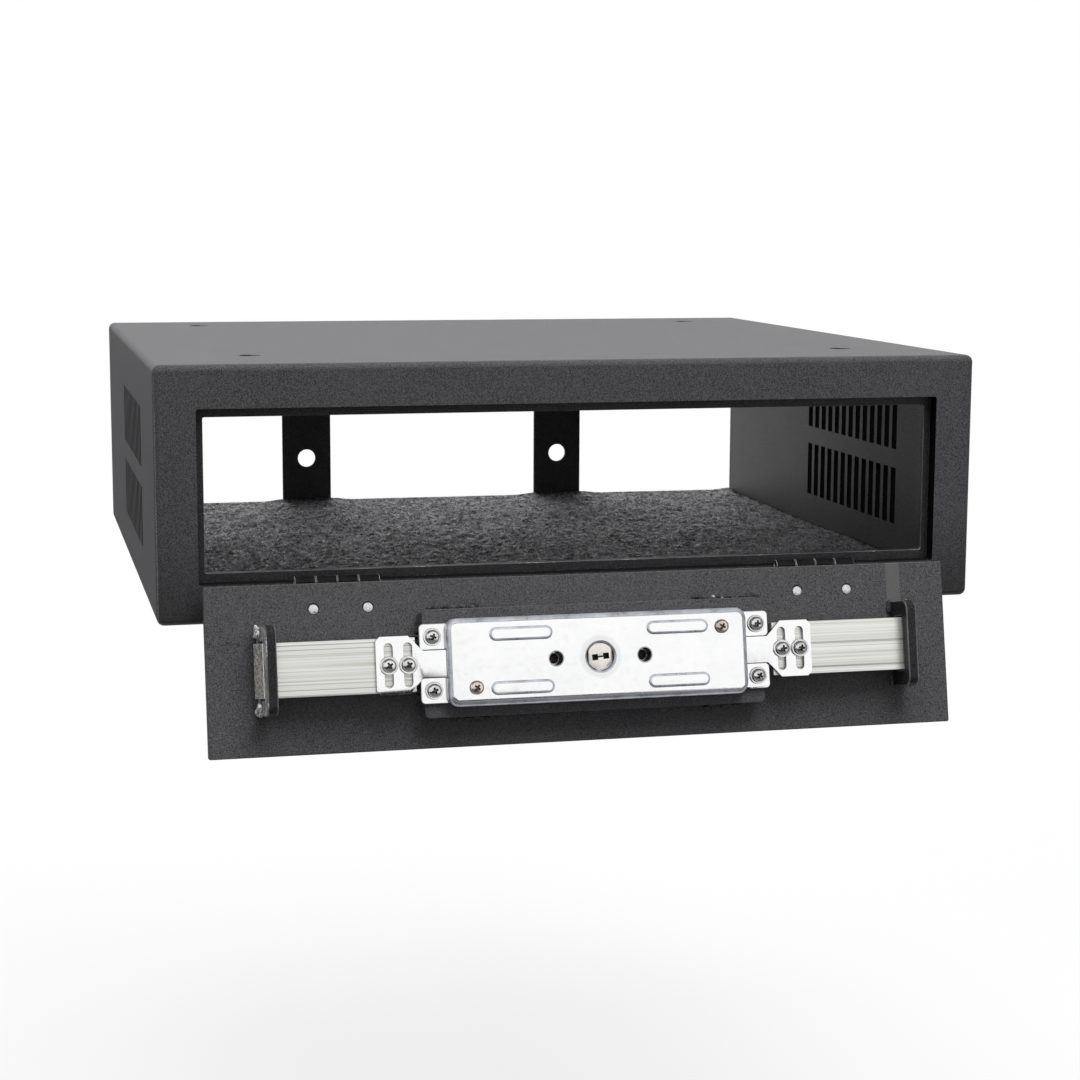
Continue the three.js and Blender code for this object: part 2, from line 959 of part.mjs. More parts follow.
function housing() {
  const outer = doorOuter - doorInner - 2 * seat - escutcheonThickness;
  const tube = rod(housingRadius, outer - housingFlange, baseTop, 0, 0, 24);
  const flange = rod(housingFlangeRadius, outer - housingFlange, outer, 0, 0, 24);
  const bore = rod(plugRadius + plugClearance, outer - 5, baseTop + 1, 0, 0, 24);
  return tube.add(flange).subtract(bore);
}

function nut() {
  const outline = new THREE.Shape();
  const radius = nutAcross / Math.sqrt(3);
  const corners = [0, 1, 2, 3, 4, 5].map((k) => [
    radius * Math.cos((k * Math.PI) / 3),
    radius * Math.sin((k * Math.PI) / 3),
  ]);
  outline.setFromPoints(corners.map(([x, y]) => new THREE.Vector2(x, y)));
  const body = raised(outline, seat, seat + nutThickness);
  return body.subtract(rod(housingRadius + holeClearance, -1, nutThickness + 1));
}

function escutcheon() {
  const low = doorOuter - doorInner - seat - escutcheonThickness;
  const outline = rectangle(
    -escutcheonLength / 2,
    escutcheonLength / 2,
    -escutcheonWidth / 2,
    escutcheonWidth / 2,
    escutcheonWidth / 2 - 0.01,
  );
  const plate = raised(outline, low, low + escutcheonThickness, 5);
  return without(plate, lockHoles(low - 1, low + escutcheonThickness + 1, false));
}

// Pan-headed screw along Z, with an optional washer and a cross in its head. It seats at z = 0.
function panScrew(shankRadius, shankLength, washerRadius, turn, headHeight = panHeight) {
  const profile = [
    [0, -shankLength],
    [shankRadius, -shankLength],
    [shankRadius, 0],
  ];
  let base = 0;
  if (washerRadius > 0) {
    base = washerThickness;
    profile.push([washerRadius, 0], [washerRadius, base]);
  }
  profile.push([panRadius, base]);
  profile.push([panRadius, base + 0.45 * headHeight]);
  profile.push([panRadius * 0.86, base + 0.78 * headHeight]);
  profile.push([panRadius * 0.55, base + 0.95 * headHeight]);
  profile.push([0, base + headHeight]);
  const top = base + headHeight + 0.5;
  const floor = base + headHeight - Math.min(crossDepth, 0.6 * headHeight);
  const arm = crossLength / 2;
  const half = crossWidth / 2;
  const cross = block(-arm, arm, -half, half, floor, top)
    .add(block(-half, half, -arm, arm, floor, top))
    .rotate([0, 0, turn]);
  return turned(profile).subtract(cross);
}

// Bolt bar of the left side, its outer end cut at a slant
function bar() {
  const bottom = baseTop - barThickness;
  const half = barWidth / 2;
  const geometry = new THREE.ExtrudeGeometry(
    polygon([
      [-barOuter, bottom],
      [-barInner, bottom],
      [-barInner, baseTop],
      [-barOuter + barEndSlant, baseTop],
    ]),
    { depth: barWidth, bevelEnabled: false },
  );
  geometry.rotateX(Math.PI / 2);
  geometry.translate(0, half, 0);
  const holes = driveScrewPlaces().map((x) =>
    rod(driveShankRadius + holeClearance, bottom - 1, baseTop + 1, x, 0, 12),
  );
  return without(solidOf(geometry), holes);
}

// Guide plate of one side, with the window that the bolt slides through
function guide(side, lean) {
  const half = guideWidth / 2;
  const outline = new THREE.Shape();
  outline.moveTo(-half, seat);
  outline.lineTo(half, seat);
  outline.lineTo(half, guideRise - guideRadius);
  outline.absarc(half - guideRadius, guideRise - guideRadius, guideRadius, 0, Math.PI / 2);
  outline.lineTo(guideRadius - half, guideRise);
  outline.absarc(
    guideRadius - half,
    guideRise - guideRadius,
    guideRadius,
    Math.PI / 2,
    Math.PI,
  );
  const geometry = new THREE.ExtrudeGeometry(outline, {
    depth: guideThickness,
    bevelEnabled: false,
    curveSegments: 3,
  });
  geometry.rotateX(Math.PI / 2);
  geometry.rotateZ(Math.PI / 2);
  const box = solidOf(geometry).boundingBox();
  geometry.translate(-(box.min[0] + box.max[0]) / 2, 0, 0);
  geometry.rotateY((lean * Math.PI) / 180);
  geometry.translate(side * (guideOuter - guideThickness / 2), 0, 0);
  const window = block(
    side > 0 ? guideOuter - 4 * guideThickness : -guideOuter - 4 * guideThickness,
    side > 0 ? guideOuter + 4 * guideThickness : -guideOuter + 4 * guideThickness,
    -barWidth / 2 - slideClearance,
    barWidth / 2 + slideClearance,
    baseTop - barThickness - slideClearance,
    baseTop + slideClearance,
  );
  const trimmed = block(
    -2 * guideOuter,
    2 * guideOuter,
    -guideWidth,
    guideWidth,
    seat,
    2 * guideRise,
  );
  return solidOf(geometry).intersect(trimmed).subtract(window);
}

// The frame of the box: X from its middle, Y from its front face, Z from its underside
const box = new THREE.Group();
box.position.set(0, -bodyDepth / 2, -bodyHeight);

box.add(meshOf("body_shell", shell(), blackCoat));
box.add(meshOf("front_frame", frontFrame(), blackCoat));
box.add(meshOf("door_stop_frame", stopFrame(), blackCoat));
box.add(meshOf("rear_panel", rearPanel(), blackCoat));
box.add(meshOf("carpet_liner", carpetSheet(), carpet));

// The frame of the door: it turns about X on the hinge axis, and Z runs up the closed door
const door = new THREE.Group();
door.position.set(0, -axisOut, axisZ);
door.rotation.x = (doorOpenAngle * Math.PI) / 180;
door.add(meshOf("door_panel", doorPlate(), blackCoat));

let rivetNumber = 0;
for (const [side, x] of [
  ["left", -hingeSpacing / 2],
  ["right", hingeSpacing / 2],
]) {
  const frameLeaf = leaf(0, axisOut - leafThickness, [-rivetReach]);
  const fixed = meshOf(`hinge_${side}_frame_leaf`, frameLeaf, blackCoat);
  fixed.position.set(x, -axisOut, axisZ);
  const pinEnd = hingeLength / 2 - seat;
  const pin = meshOf(
    `hinge_${side}_pin`,
    rodX(pinRadius, -pinEnd, pinEnd, 0, 0, 12),
    bright,
  );
  pin.position.copy(fixed.position);
  box.add(fixed, pin);

  // The door's leaf points up from the axis, so it is the same leaf turned over
  const upsideDown = leaf(0, doorLeafFront, [-rivetReach]);
  const flipped = upsideDown.mirror([0, 0, 1]).mirror([1, 0, 0]);
  const moving = meshOf(`hinge_${side}_door_leaf`, flipped, blackCoat);
  moving.position.x = x;
  door.add(moving);

  for (const offset of [-rivetSpacing / 2, rivetSpacing / 2]) {
    rivetNumber += 1;
    const still = meshOf(`frame_rivet_${rivetNumber}`, rivet(leafThickness + sheet), bright);
    still.position.set(x + offset, -leafThickness, axisZ - rivetReach);
    box.add(still);
    const headSeat = doorLeafFront - seat;
    const riding = meshOf(`door_rivet_${rivetNumber}`, rivet(doorInner - headSeat), bright);
    riding.position.set(x + offset, headSeat, rivetReach);
    door.add(riding);
  }
}

// The frame of the door's inner face: X along the door, Y towards the hinges, Z off the face
const face = new THREE.Group();
face.position.set(0, doorInner, doorMiddle);
face.rotation.x = -Math.PI / 2;
door.add(face);

face.add(meshOf("lock_plinth", plinth(), blackCoat));
face.add(meshOf("lock_base_plate", basePlate(), zinc));
face.add(meshOf("lock_cover", cover(), zinc));
face.add(meshOf("bolt_guide_left", guide(-1, guideLean), blackCoat));
face.add(meshOf("bolt_guide_right", guide(1, 0), blackCoat));
face.add(meshOf("cylinder_housing", housing(), nickel));
face.add(meshOf("cylinder_nut", nut(), bright));
face.add(meshOf("escutcheon", escutcheon(), blackCoat));

[-1, 1].forEach((side, index) => {
  const turn = crossTurn + crossTurnStep * index;
  const screw = panScrew(smallShankRadius, coverTop - baseBottom, 0, turn);
  const mesh = meshOf(`cover_screw_${index + 1}`, screw, brass);
  mesh.position.set(side * coverScrewX, side * coverScrewY, coverTop + seat);
  face.add(mesh);
});

earPlaces().forEach(([x, y], index) => {
  const turn = crossTurn + crossTurnStep * index;
  const screw = panScrew(smallShankRadius, plinthRise, earWasherRadius, turn);
  const mesh = meshOf(`ear_screw_${index + 1}`, screw, bright);
  mesh.position.set(x, y, baseTop + seat);
  face.add(mesh);
});

[-1, 1].forEach((side, index) => {
  const low = doorOuter - doorInner - 2 * seat - escutcheonThickness;
  const screw = panScrew(
    escutcheonShankRadius,
    baseTop - low,
    0,
    crossTurn + crossTurnStep * index,
    escutcheonHeadHeight,
  ).rotate([180, 0, 0]);
  const mesh = meshOf(`escutcheon_screw_${index + 1}`, screw, bright);
  mesh.position.set((side * accessSpacing) / 2, 0, low);
  face.add(mesh);
});

// The plug and the pinion turn together about Z of the door's inner face
const lock = new THREE.Group();
lock.add(meshOf("lock_plug", plug(), nickel));
lock.add(meshOf("drive_pinion", pinion(), nickel));
face.add(lock);

// Each bolt slides along X. The right one is the left one turned half round.
let boltScrewNumber = 0;
for (const [side, turn] of [
  ["left", 0],
  ["right", 180],
]) {
  const bolt = new THREE.Group();
  bolt.add(meshOf(`drive_plate_${side}`, drivePlate().rotate([0, 0, turn]), zinc));
  bolt.add(meshOf(`bolt_bar_${side}`, bar().rotate([0, 0, turn]), brushed));
  for (const x of driveScrewPlaces()) {
    boltScrewNumber += 1;
    const screw = panScrew(
      driveShankRadius,
      driveThickness + barThickness,
      driveWasherRadius,
      crossTurn + crossTurnStep * boltScrewNumber,
    );
    const mesh = meshOf(`bolt_screw_${boltScrewNumber}`, screw, bright);
    mesh.position.set(side === "left" ? x : -x, 0, driveTop + seat);
    bolt.add(mesh);
  }
  face.add(bolt);
}

box.add(door);

const part = new THREE.Group();
part.name = "under_desk_lock_box";
part.add(box);

export default part;
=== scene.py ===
import json
import math
import random

import bmesh
import bpy
from mathutils import Matrix, Vector


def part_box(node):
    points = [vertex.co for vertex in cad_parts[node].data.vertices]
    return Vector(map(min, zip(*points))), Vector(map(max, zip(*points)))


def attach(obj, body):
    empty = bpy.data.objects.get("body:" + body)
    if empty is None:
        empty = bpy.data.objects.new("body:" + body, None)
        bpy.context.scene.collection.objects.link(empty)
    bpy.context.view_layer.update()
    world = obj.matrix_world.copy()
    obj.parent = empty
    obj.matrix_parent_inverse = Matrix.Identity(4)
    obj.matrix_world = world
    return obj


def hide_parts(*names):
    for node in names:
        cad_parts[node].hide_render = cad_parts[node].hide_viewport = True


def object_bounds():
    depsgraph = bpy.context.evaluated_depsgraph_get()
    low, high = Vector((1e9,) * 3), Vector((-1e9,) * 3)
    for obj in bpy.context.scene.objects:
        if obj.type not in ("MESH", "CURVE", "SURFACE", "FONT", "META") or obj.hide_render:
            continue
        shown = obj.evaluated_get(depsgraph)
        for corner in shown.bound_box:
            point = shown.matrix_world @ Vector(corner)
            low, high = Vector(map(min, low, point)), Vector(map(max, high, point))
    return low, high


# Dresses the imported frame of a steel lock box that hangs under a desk. Metres, in the frame's axes:
# the box's top face is at z = 0, its front looks along -Y, and its door hangs open.
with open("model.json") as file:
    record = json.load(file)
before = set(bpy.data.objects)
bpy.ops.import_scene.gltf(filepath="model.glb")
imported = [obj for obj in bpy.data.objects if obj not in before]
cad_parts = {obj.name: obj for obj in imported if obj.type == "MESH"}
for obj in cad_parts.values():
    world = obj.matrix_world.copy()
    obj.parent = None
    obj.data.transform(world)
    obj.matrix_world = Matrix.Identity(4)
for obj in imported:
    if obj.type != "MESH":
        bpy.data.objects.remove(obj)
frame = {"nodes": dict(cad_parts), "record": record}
cad_low, cad_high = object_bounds()
record = frame["record"]

MM = 0.001

# Camera
CAMERA_PLACE = (-0.270679, -1.220544, 0.073467)
CAMERA_YAW = 0.2379
CAMERA_PITCH = 0.1478
CAMERA_ROLL = 0.0040
SENSOR = 36.0
LENS = 75.62

# Light
AMBIENT = 0.20
LAMPS_AIM = (0, 0, -0.06)
FLOOR_DROP = 0.30
FLOOR_SIZE = 60.0
FLOOR_SHADOW = 0.2
SHADOW_NEAR = 0.6
SHADOW_FAR = 1.1

# Box
BODY_WIDTH = 400 * MM
BODY_DEPTH = 370 * MM
BODY_HEIGHT = 120 * MM
SHEET = 2.5 * MM
EDGE_RADIUS = 3.5 * MM
FRAME_FOLD = 4 * MM
SLOT_COLUMNS = 13
SLOT_ROWS = 2
SLOT_PITCH = 10.6 * MM
SLOT_RISE = 40 * MM
SLOT_WIDTH = 6.6 * MM
SLOT_WIDTH_OUTSIDE = 5.2 * MM
SLOT_LENGTH = 30 * MM
SLOT_FIRST = 93 * MM
SLOT_BOTTOM = 23.8 * MM
KEYHOLE_X = 151 * MM
KEYHOLE_FRONT = 60 * MM
KEYHOLE_REAR = 330 * MM
KEYHOLE_RADIUS = 3.25 * MM
KEYHOLE_TAIL_RADIUS = 1.8 * MM
KEYHOLE_TAIL = 5.45 * MM

# Door, as seen on its inner face: half its width and height, and its holes
DOOR_X = 180 * MM
DOOR_Y = 39.25 * MM
DOOR_THICKNESS = 6 * MM
DOOR_CORNER = 0.8 * MM
DOOR_EDGE = 0.45 * MM
CYLINDER_HOLE = 8.3 * MM
ESCUTCHEON_HOLE = 2.3 * MM
RIVET_HOLE = 2.5 * MM

# Rear panel
REAR_RAIL = 8 * MM
STRAP_X = 80.5 * MM
STRAP_WIDTH = 30 * MM
STRAP_HOLE = 5.5 * MM
STRAP_HOLE_HEIGHT = 34.8 * MM
WINDOW_RADIUS = 1.2 * MM

# Carpet
CARPET_STEP = 2.0 * MM
CARPET_WAVE = 0.35 * MM
CARPET_TUFT = 1.7 * MM
CARPET_PROUD = 1.2 * MM
RISE = 1.3 * MM
RISE_LENGTH = 22 * MM
RISE_WIDTH = 8 * MM
FIBRE_DENSITY = 85000
FIBRE_LENGTH = 3.0 * MM
FIBRE_WIDTH = 0.5 * MM

# Lock, on the door's inner face
PLINTH_X = 82 * MM
PLINTH_Y = 25 * MM
EAR_X = 78 * MM
EAR_Y = 12.3 * MM
COVER_SCREW_X = 59.2 * MM
COVER_SCREW_Y = 11.7 * MM
ESCUTCHEON_SCREW_X = 21.2 * MM
DRIVE_SCREW_X = 94.3 * MM
DRIVE_SCREW_PITCH = 9 * MM
BASE_TOP = 14.0 * MM
DRIVE_TOP = 16.0 * MM
COVER_TOP = 20.0 * MM
SEAT = 0.3 * MM
ESCUTCHEON_OUT = 8.1 * MM

# Screws
HEAD_RADIUS = 3.25 * MM
HEAD_HEIGHT = 2.5 * MM
COVER_HEAD = 1.9 * MM
ESCUTCHEON_HEAD = 1.2 * MM
WASHER_RADIUS = 4.2 * MM
EAR_WASHER_RADIUS = 4.1 * MM
WASHER_THICKNESS = 0.8 * MM
SHANK_RADIUS = 1.5 * MM
BOLT_SHANK_RADIUS = 1.7 * MM
ESCUTCHEON_SHANK_RADIUS = 2 * MM
EAR_SCREW_LENGTH = 12 * MM
COVER_SCREW_LENGTH = 7.7 * MM
BOLT_SCREW_LENGTH = 9.7 * MM

# The cover's holes, the boss in the middle one, its key slot, and the bolt bars' ends
HOLE_RADIUS = 8.6 * MM
HOLE_SHARE = 0.91
HOLE_WALL = 7.6 * MM
BOSS_INSIDE = 5 * MM
BOSS_OUTSIDE = 8 * MM
BOSS_DEPTH = 4 * MM
BOSS_SHARE = 0.94
KEY_SLOT_RADIUS = 4.5 * MM
KEY_SLOT_TOP = COVER_TOP - 0.7 * MM
KEY_SLOT_FLOOR = COVER_TOP - 3.7 * MM
BAR_END = 140 * MM

# Weld beads: on the two sides of a bolt guide, above and below its bar, and round the plinth,
# along which each run goes from one X to another, in millimetres, on the side of that sign
GUIDE_INSIDE = 151.4 * MM
GUIDE_OUTSIDE = 157.4 * MM
GUIDE_WELD_NEAR = 15.5
GUIDE_WELD_FAR = 20
GUIDE_BEADS = 26
PLINTH_RUNS = ((-76, -54, 1), (52, 83, 1), (-66, -48, -1), (56, 74, -1))
PLINTH_CORNER_Y = 12 * MM
CORNER_BEADS = 5
BEAD_LENGTH = 1.9 * MM
BEAD_WIDTH = 1.5 * MM
BEAD_HEIGHT = 1.3 * MM
BEAD_PITCH = 1.5 * MM

# Hinge rivets
HINGE_X = 117.4 * MM
RIVET_X = 12.65 * MM
RIVET_RADIUS = 2.2 * MM
RIVET_HEAD = 3.8 * MM
RIVET_RISE = 2.55 * MM
RIVET_FACE_Y = 27.25 * MM
RIVET_FRAME_Z = -113.9 * MM
DOOR_RIVET_LENGTH = 8.1 * MM
DOOR_RIVET_END = 2.12 * MM
PEEN_RISE = 0.2 * MM

BODY_OF = {
    node: body for body, nodes in record["behaviour"]["bodies"].items() for node in nodes
}
SLOT_OF = {row["node"]: row["material_slot"] for row in record["subparts"]}


def face_frame():
    """The frame of the door's inner face: X along the door, Y towards the hinges, Z off the face."""
    joint = next(j for j in record["behaviour"]["joints"] if j["name"] == "key_turn")
    along = Vector((1, 0, 0))
    off = -Vector(joint["axis"]).normalized()
    matrix = Matrix((along, off.cross(along), off)).transposed().to_4x4()
    matrix.translation = Vector(joint["pos_m"])
    return matrix


FACE = face_frame()
TO_FACE = FACE.inverted()

# Edges of the carried-over nodes that turn by more than this are sharp
SHARP = math.radians(40)

# The flange's rubbed outer edges and the painted shade towards its foot, and the lighter stripe on the door
# above the right guide
RIM_WEAR = 0.9 * MM
FOOT_SHADE = 45 * MM
STRIPE_X = 150.5 * MM
STRIPE_WIDTH = 7 * MM
STRIPE_FOOT = (FACE @ Vector((0, 20 * MM, 0))).z


# Materials


class Finish:
    """A procedural material whose patterns lie on Object coordinates."""

    def __init__(self, name):
        self.material = bpy.data.materials.new(name)
        self.material.use_nodes = True
        self.tree = self.material.node_tree
        self.shader = self.tree.nodes["Principled BSDF"]
        self.place = self.tree.nodes.new("ShaderNodeTexCoord").outputs["Object"]

    def join(self, value, socket):
        if isinstance(value, bpy.types.NodeSocket):
            self.tree.links.new(value, socket)
        else:
            socket.default_value = value

    def finished(self, **values):
        """The material, with plain values or sockets for its shader, _ for a space in a name."""
        for name, value in values.items():
            self.join(value, self.shader.inputs[name.replace("_", " ")])
        return self.material

    def stretched(self, x, y, z):
        """Object coordinates scaled along each axis."""
        node = self.tree.nodes.new("ShaderNodeMapping")
        self.join(self.place, node.inputs["Vector"])
        node.inputs["Scale"].default_value = (x, y, z)
        return node.outputs["Vector"]

    def axes(self):
        """The three Object coordinates."""
        node = self.tree.nodes.new("ShaderNodeSeparateXYZ")
        self.join(self.place, node.inputs[0])
        return tuple(node.outputs)

    def noise(self, scale, detail, roughness, at=None):
        node = self.tree.nodes.new("ShaderNodeTexNoise")
        self.join(at or self.place, node.inputs["Vector"])
        node.inputs["Scale"].default_value = scale
        node.inputs["Detail"].default_value = detail
        node.inputs["Roughness"].default_value = roughness
        return node.outputs["Fac"]

    def cells(self, scale):
        node = self.tree.nodes.new("ShaderNodeTexVoronoi")
        self.join(self.place, node.inputs["Vector"])
        node.inputs["Scale"].default_value = scale
        return node.outputs["Distance"]

    def span(self, value, low, high, out_low=0.0, out_high=1.0):
        node = self.tree.nodes.new("ShaderNodeMapRange")
        self.join(value, node.inputs["Value"])
        for name, number in (
            ("From Min", low),
            ("From Max", high),
            ("To Min", out_low),
            ("To Max", out_high),
        ):
            node.inputs[name].default_value = number
        return node.outputs["Result"]

    def maths(self, kind, a, b):
        node = self.tree.nodes.new("ShaderNodeMath")
        node.operation = kind
        self.join(a, node.inputs[0])
        self.join(b, node.inputs[1])
        return node.outputs[0]

    def product(self, value, *others):
        for other in others:
            value = self.maths("MULTIPLY", value, other)
        return value

    def distance(self, a, b):
        """How far the point (a, b) is from (0, 0)."""
        squares = self.maths("ADD", self.product(a, a), self.product(b, b))
        return self.maths("SQRT", squares, 0)

    def blend(self, amount, a, b):
        node = self.tree.nodes.new("ShaderNodeMix")
        node.data_type = "RGBA"
        colours = [s for s in node.inputs if s.type == "RGBA"]
        self.join(amount, node.inputs["Factor"])
        for value, socket in zip((a, b), colours):
            if isinstance(value, tuple):
                value = (*value[:3], 1.0)
            self.join(value, socket)
        return next(s for s in node.outputs if s.type == "RGBA")

    def tint(self, pattern, low, high, a, b, most=1.0):
        """Colour a, turning to b by at most that share as the pattern rises from low to high."""
        return self.blend(self.span(pattern, low, high, 0.0, most), a, b)

    def bump(self, height, depth, strength, onto=None):
        node = self.tree.nodes.new("ShaderNodeBump")
        node.inputs["Strength"].default_value = strength
        node.inputs["Distance"].default_value = depth
        self.join(height, node.inputs["Height"])
        if onto is not None:
            self.join(onto, node.inputs["Normal"])
        return node.outputs["Normal"]


def grey(value):
    return (value, value, value)


def powder_coat(name, dark, light, gloss=0.5, mark=None, ior=1.38):
    """Fine-grained coat with faint clouds, and whatever the mark function adds to its tone."""
    finish = Finish(name)
    grain = finish.noise(1650, 2, 0.6)
    tone = finish.tint(grain, 0.36, 0.64, dark, light)
    tone = finish.tint(finish.noise(30, 4, 0.6), 0.3, 0.75, tone, light, 0.25)
    if mark:
        tone = mark(finish, tone, grain)
    relief = finish.bump(grain, 0.16 * MM, 0.8)
    return finish.finished(
        Base_Color=tone,
        Roughness=finish.span(grain, 0.3, 0.7, gloss + 0.1, gloss - 0.08),
        Normal=finish.bump(finish.cells(1200), 0.07 * MM, 0.5, relief),
        IOR=ior,
    )


def worn_rim_and_painted_shade(finish, tone, grain):
    """A thin rubbed line down the flange's two outer front edges, and painted shade towards its foot."""
    x, y, z = finish.axes()
    side, front = BODY_WIDTH / 2, -BODY_DEPTH / 2
    line = finish.span(finish.maths("ABSOLUTE", x, 0), side - RIM_WEAR, side - 0.5 * RIM_WEAR)
    ahead = finish.span(y, front + RIM_WEAR, front + 2 * RIM_WEAR, 1.0, 0.0)
    patchy = finish.span(finish.noise(45, 4, 0.7), 0.34, 0.6, 0.25, 1.0)
    speckled = finish.span(grain, 0.40, 0.62, 0.15, 1.0)
    # Painted shade: the coat darkens towards the flange's foot
    foot = finish.span(z, -BODY_HEIGHT, FOOT_SHADE - BODY_HEIGHT, 0.6, 0.0)
    tone = finish.blend(foot, tone, grey(0.006))
    return finish.blend(finish.product(line, ahead, patchy, speckled), tone, grey(0.55))


def keyhole_painted_shade(finish, tone, grain):
    """Painted shade on the top's coat: dark round each of the four keyholes."""
    x, y, z = finish.axes()
    middle = (KEYHOLE_REAR + KEYHOLE_FRONT - BODY_DEPTH) / 2
    row = (KEYHOLE_REAR - KEYHOLE_FRONT) / 2
    aside = finish.maths("SUBTRACT", finish.maths("ABSOLUTE", x, 0), KEYHOLE_X)
    along = finish.maths("ABSOLUTE", finish.maths("SUBTRACT", y, middle), 0)
    along = finish.product(finish.maths("SUBTRACT", along, row), 0.55)
    painted_dark = finish.span(finish.distance(aside, along), 3 * MM, 4.6 * MM, 0.9, 0.0)
    above = finish.span(z, -2 * MM, -1 * MM)
    return finish.blend(finish.product(painted_dark, above), tone, grey(0.003))


def lighter_stripe(finish, tone, grain):
    """A lighter stripe on the door's inner face, between its hinge edge and the right bolt guide."""
    x, y, z = finish.axes()
    end = STRIPE_X + STRIPE_WIDTH
    left = finish.span(x, STRIPE_X, STRIPE_X + 0.4 * MM)
    right = finish.span(x, end, end + 0.4 * MM, 1.0, 0.0)
    above = finish.span(z, STRIPE_FOOT, STRIPE_FOOT + 0.5 * MM)
    off = FACE.col[2].to_3d()
    face = off.dot(FACE.translation)
    depth = finish.maths("ADD", finish.product(y, off.y), finish.product(z, off.z))
    inner = finish.span(depth, face - 2 * MM, face - 1 * MM)
    return finish.blend(finish.product(left, right, above, inner, 0.8), tone, grey(0.10))


def edge_wear_and_highlight(name="worn edge", least=0.60, dark=grey(0.045), light=grey(0.13)):
    """A lighter edge with bright metal in a few chips: rubbed coat on most edges, and on the hinges'
    knuckle ends a painted highlight.
    """
    finish = Finish(name)
    grain = finish.noise(900, 3, 0.6)
    wear = finish.noise(55, 4, 0.7)
    chip = finish.product(finish.span(wear, least, least + 0.06), finish.span(grain, 0.46, 0.54))
    tone = finish.tint(wear, 0.35, 0.65, dark, light)
    return finish.finished(
        Base_Color=finish.blend(chip, tone, grey(0.55)),
        Metallic=finish.span(chip, 0, 1, 0.0, 0.8),
        Roughness=finish.span(grain, 0.3, 0.7, 0.5, 0.34),
        Normal=finish.bump(grain, 0.08 * MM, 0.6),
    )


def felt(name, dark, mid, light):
    """Needle felt seen from above: charcoal, with lighter and darker tufts."""
    finish = Finish(name)
    tuft = finish.noise(1, 3, 0.65, finish.stretched(430, 150, 430))
    hair = finish.noise(1, 2, 0.6, finish.stretched(1000, 300, 900))
    tone = finish.tint(tuft, 0.40, 0.60, dark, mid)
    tone = finish.tint(hair, 0.54, 0.66, tone, light, 0.75)
    tone = finish.tint(finish.noise(21, 3, 0.6), 0.35, 0.7, tone, dark, 0.25)
    relief = finish.bump(tuft, 0.9 * MM, 0.8)
    return finish.finished(
        Base_Color=tone,
        Roughness=0.6,
        Normal=finish.bump(hair, 0.35 * MM, 0.7, relief),
        Sheen_Weight=0.25,
        Sheen_Roughness=0.5,
        Specular_IOR_Level=0.5,
    )


def zinc_plate(name="zinc plate", mark=None):
    """Bright zinc plate: faint blue-grey clouds, soft ripples, and what the mark function adds."""
    finish = Finish(name)
    ripple = finish.noise(1, 3, 0.6, finish.stretched(18, 90, 90))
    mottle = finish.noise(330, 3, 0.6)
    tone = finish.tint(finish.noise(34, 4, 0.6), 0.35, 0.7, (0.95, 0.953, 0.96), grey(1.0))
    tone = finish.tint(mottle, 0.55, 0.75, tone, (0.86, 0.87, 0.89), 0.2)
    if mark:
        tone = mark(finish, tone)
    relief = finish.bump(ripple, 0.6 * MM, 0.08)
    return finish.finished(
        Base_Color=tone,
        Metallic=1.0,
        Roughness=finish.span(mottle, 0.3, 0.7, 0.12, 0.2),
        Normal=finish.bump(mottle, 0.03 * MM, 0.2, relief),
    )


def round_mark(finish, x, centre, inner, outer, fade):
    """1 on a ring of the cover's face round a hole that is so far aside of the middle."""
    middle = (FACE @ Vector((0, 0, COVER_TOP))).z
    aside = finish.maths("SUBTRACT", x, centre)
    above = finish.maths("SUBTRACT", finish.axes()[2], middle)
    radius = finish.distance(aside, above)
    begins = finish.span(radius, inner - 0.1 * MM, inner)
    ends = finish.span(radius, outer - fade, outer, 1.0, 0.0)
    return finish.product(begins, ends)


def painted_ring_shade(finish, tone):
    """Painted shade on the cover: grey rims round the two access holes and a soft darker ring round the key
    cylinder.
    """
    aside = finish.maths("ABSOLUTE", finish.axes()[0], 0)
    rim = round_mark(finish, aside, ESCUTCHEON_SCREW_X, 2.4 * MM, 3.85 * MM, 0.3 * MM)
    dish = round_mark(finish, aside, 0, 6 * MM, 10.5 * MM, 1.6 * MM)
    tone = finish.blend(finish.product(dish, 0.22), tone, (0.42, 0.43, 0.46))
    return finish.blend(finish.product(rim, 0.8), tone, (0.22, 0.225, 0.24))


def drawn_bar():
    """Greenish white, drawn lengthwise, with a few darker lines."""
    finish = Finish("drawn bar")
    line = finish.noise(1, 2, 0.75, finish.stretched(3, 1500, 1500))
    groove = finish.noise(1, 1, 0.5, finish.stretched(1.5, 1900, 1900))
    band = finish.noise(1, 2, 0.6, finish.stretched(6, 120, 120))
    tone = finish.tint(band, 0.35, 0.65, (0.72, 0.755, 0.665), (0.90, 0.885, 0.85))
    tone = finish.tint(line, 0.42, 0.58, tone, (1.0, 1.0, 0.97), 0.8)
    tone = finish.tint(groove, 0.60, 0.66, tone, (0.16, 0.17, 0.14), 0.6)
    return finish.finished(
        Base_Color=tone,
        Metallic=0.85,
        Roughness=finish.span(line, 0.3, 0.7, 0.46, 0.34),
        Normal=finish.bump(line, 0.06 * MM, 0.35),
    )


def plated(name, colour, shade, roughness):
    """Plated metal, darker in clouds where dirt has settled."""
    finish = Finish(name)
    fine = finish.noise(1300, 3, 0.6)
    return finish.finished(
        Base_Color=finish.tint(finish.noise(260, 3, 0.6), 0.45, 0.75, colour, shade, 0.7),
        Metallic=1.0,
        Roughness=finish.span(fine, 0.3, 0.7, roughness + 0.06, roughness - 0.05),
        Normal=finish.bump(fine, 0.04 * MM, 0.35),
    )


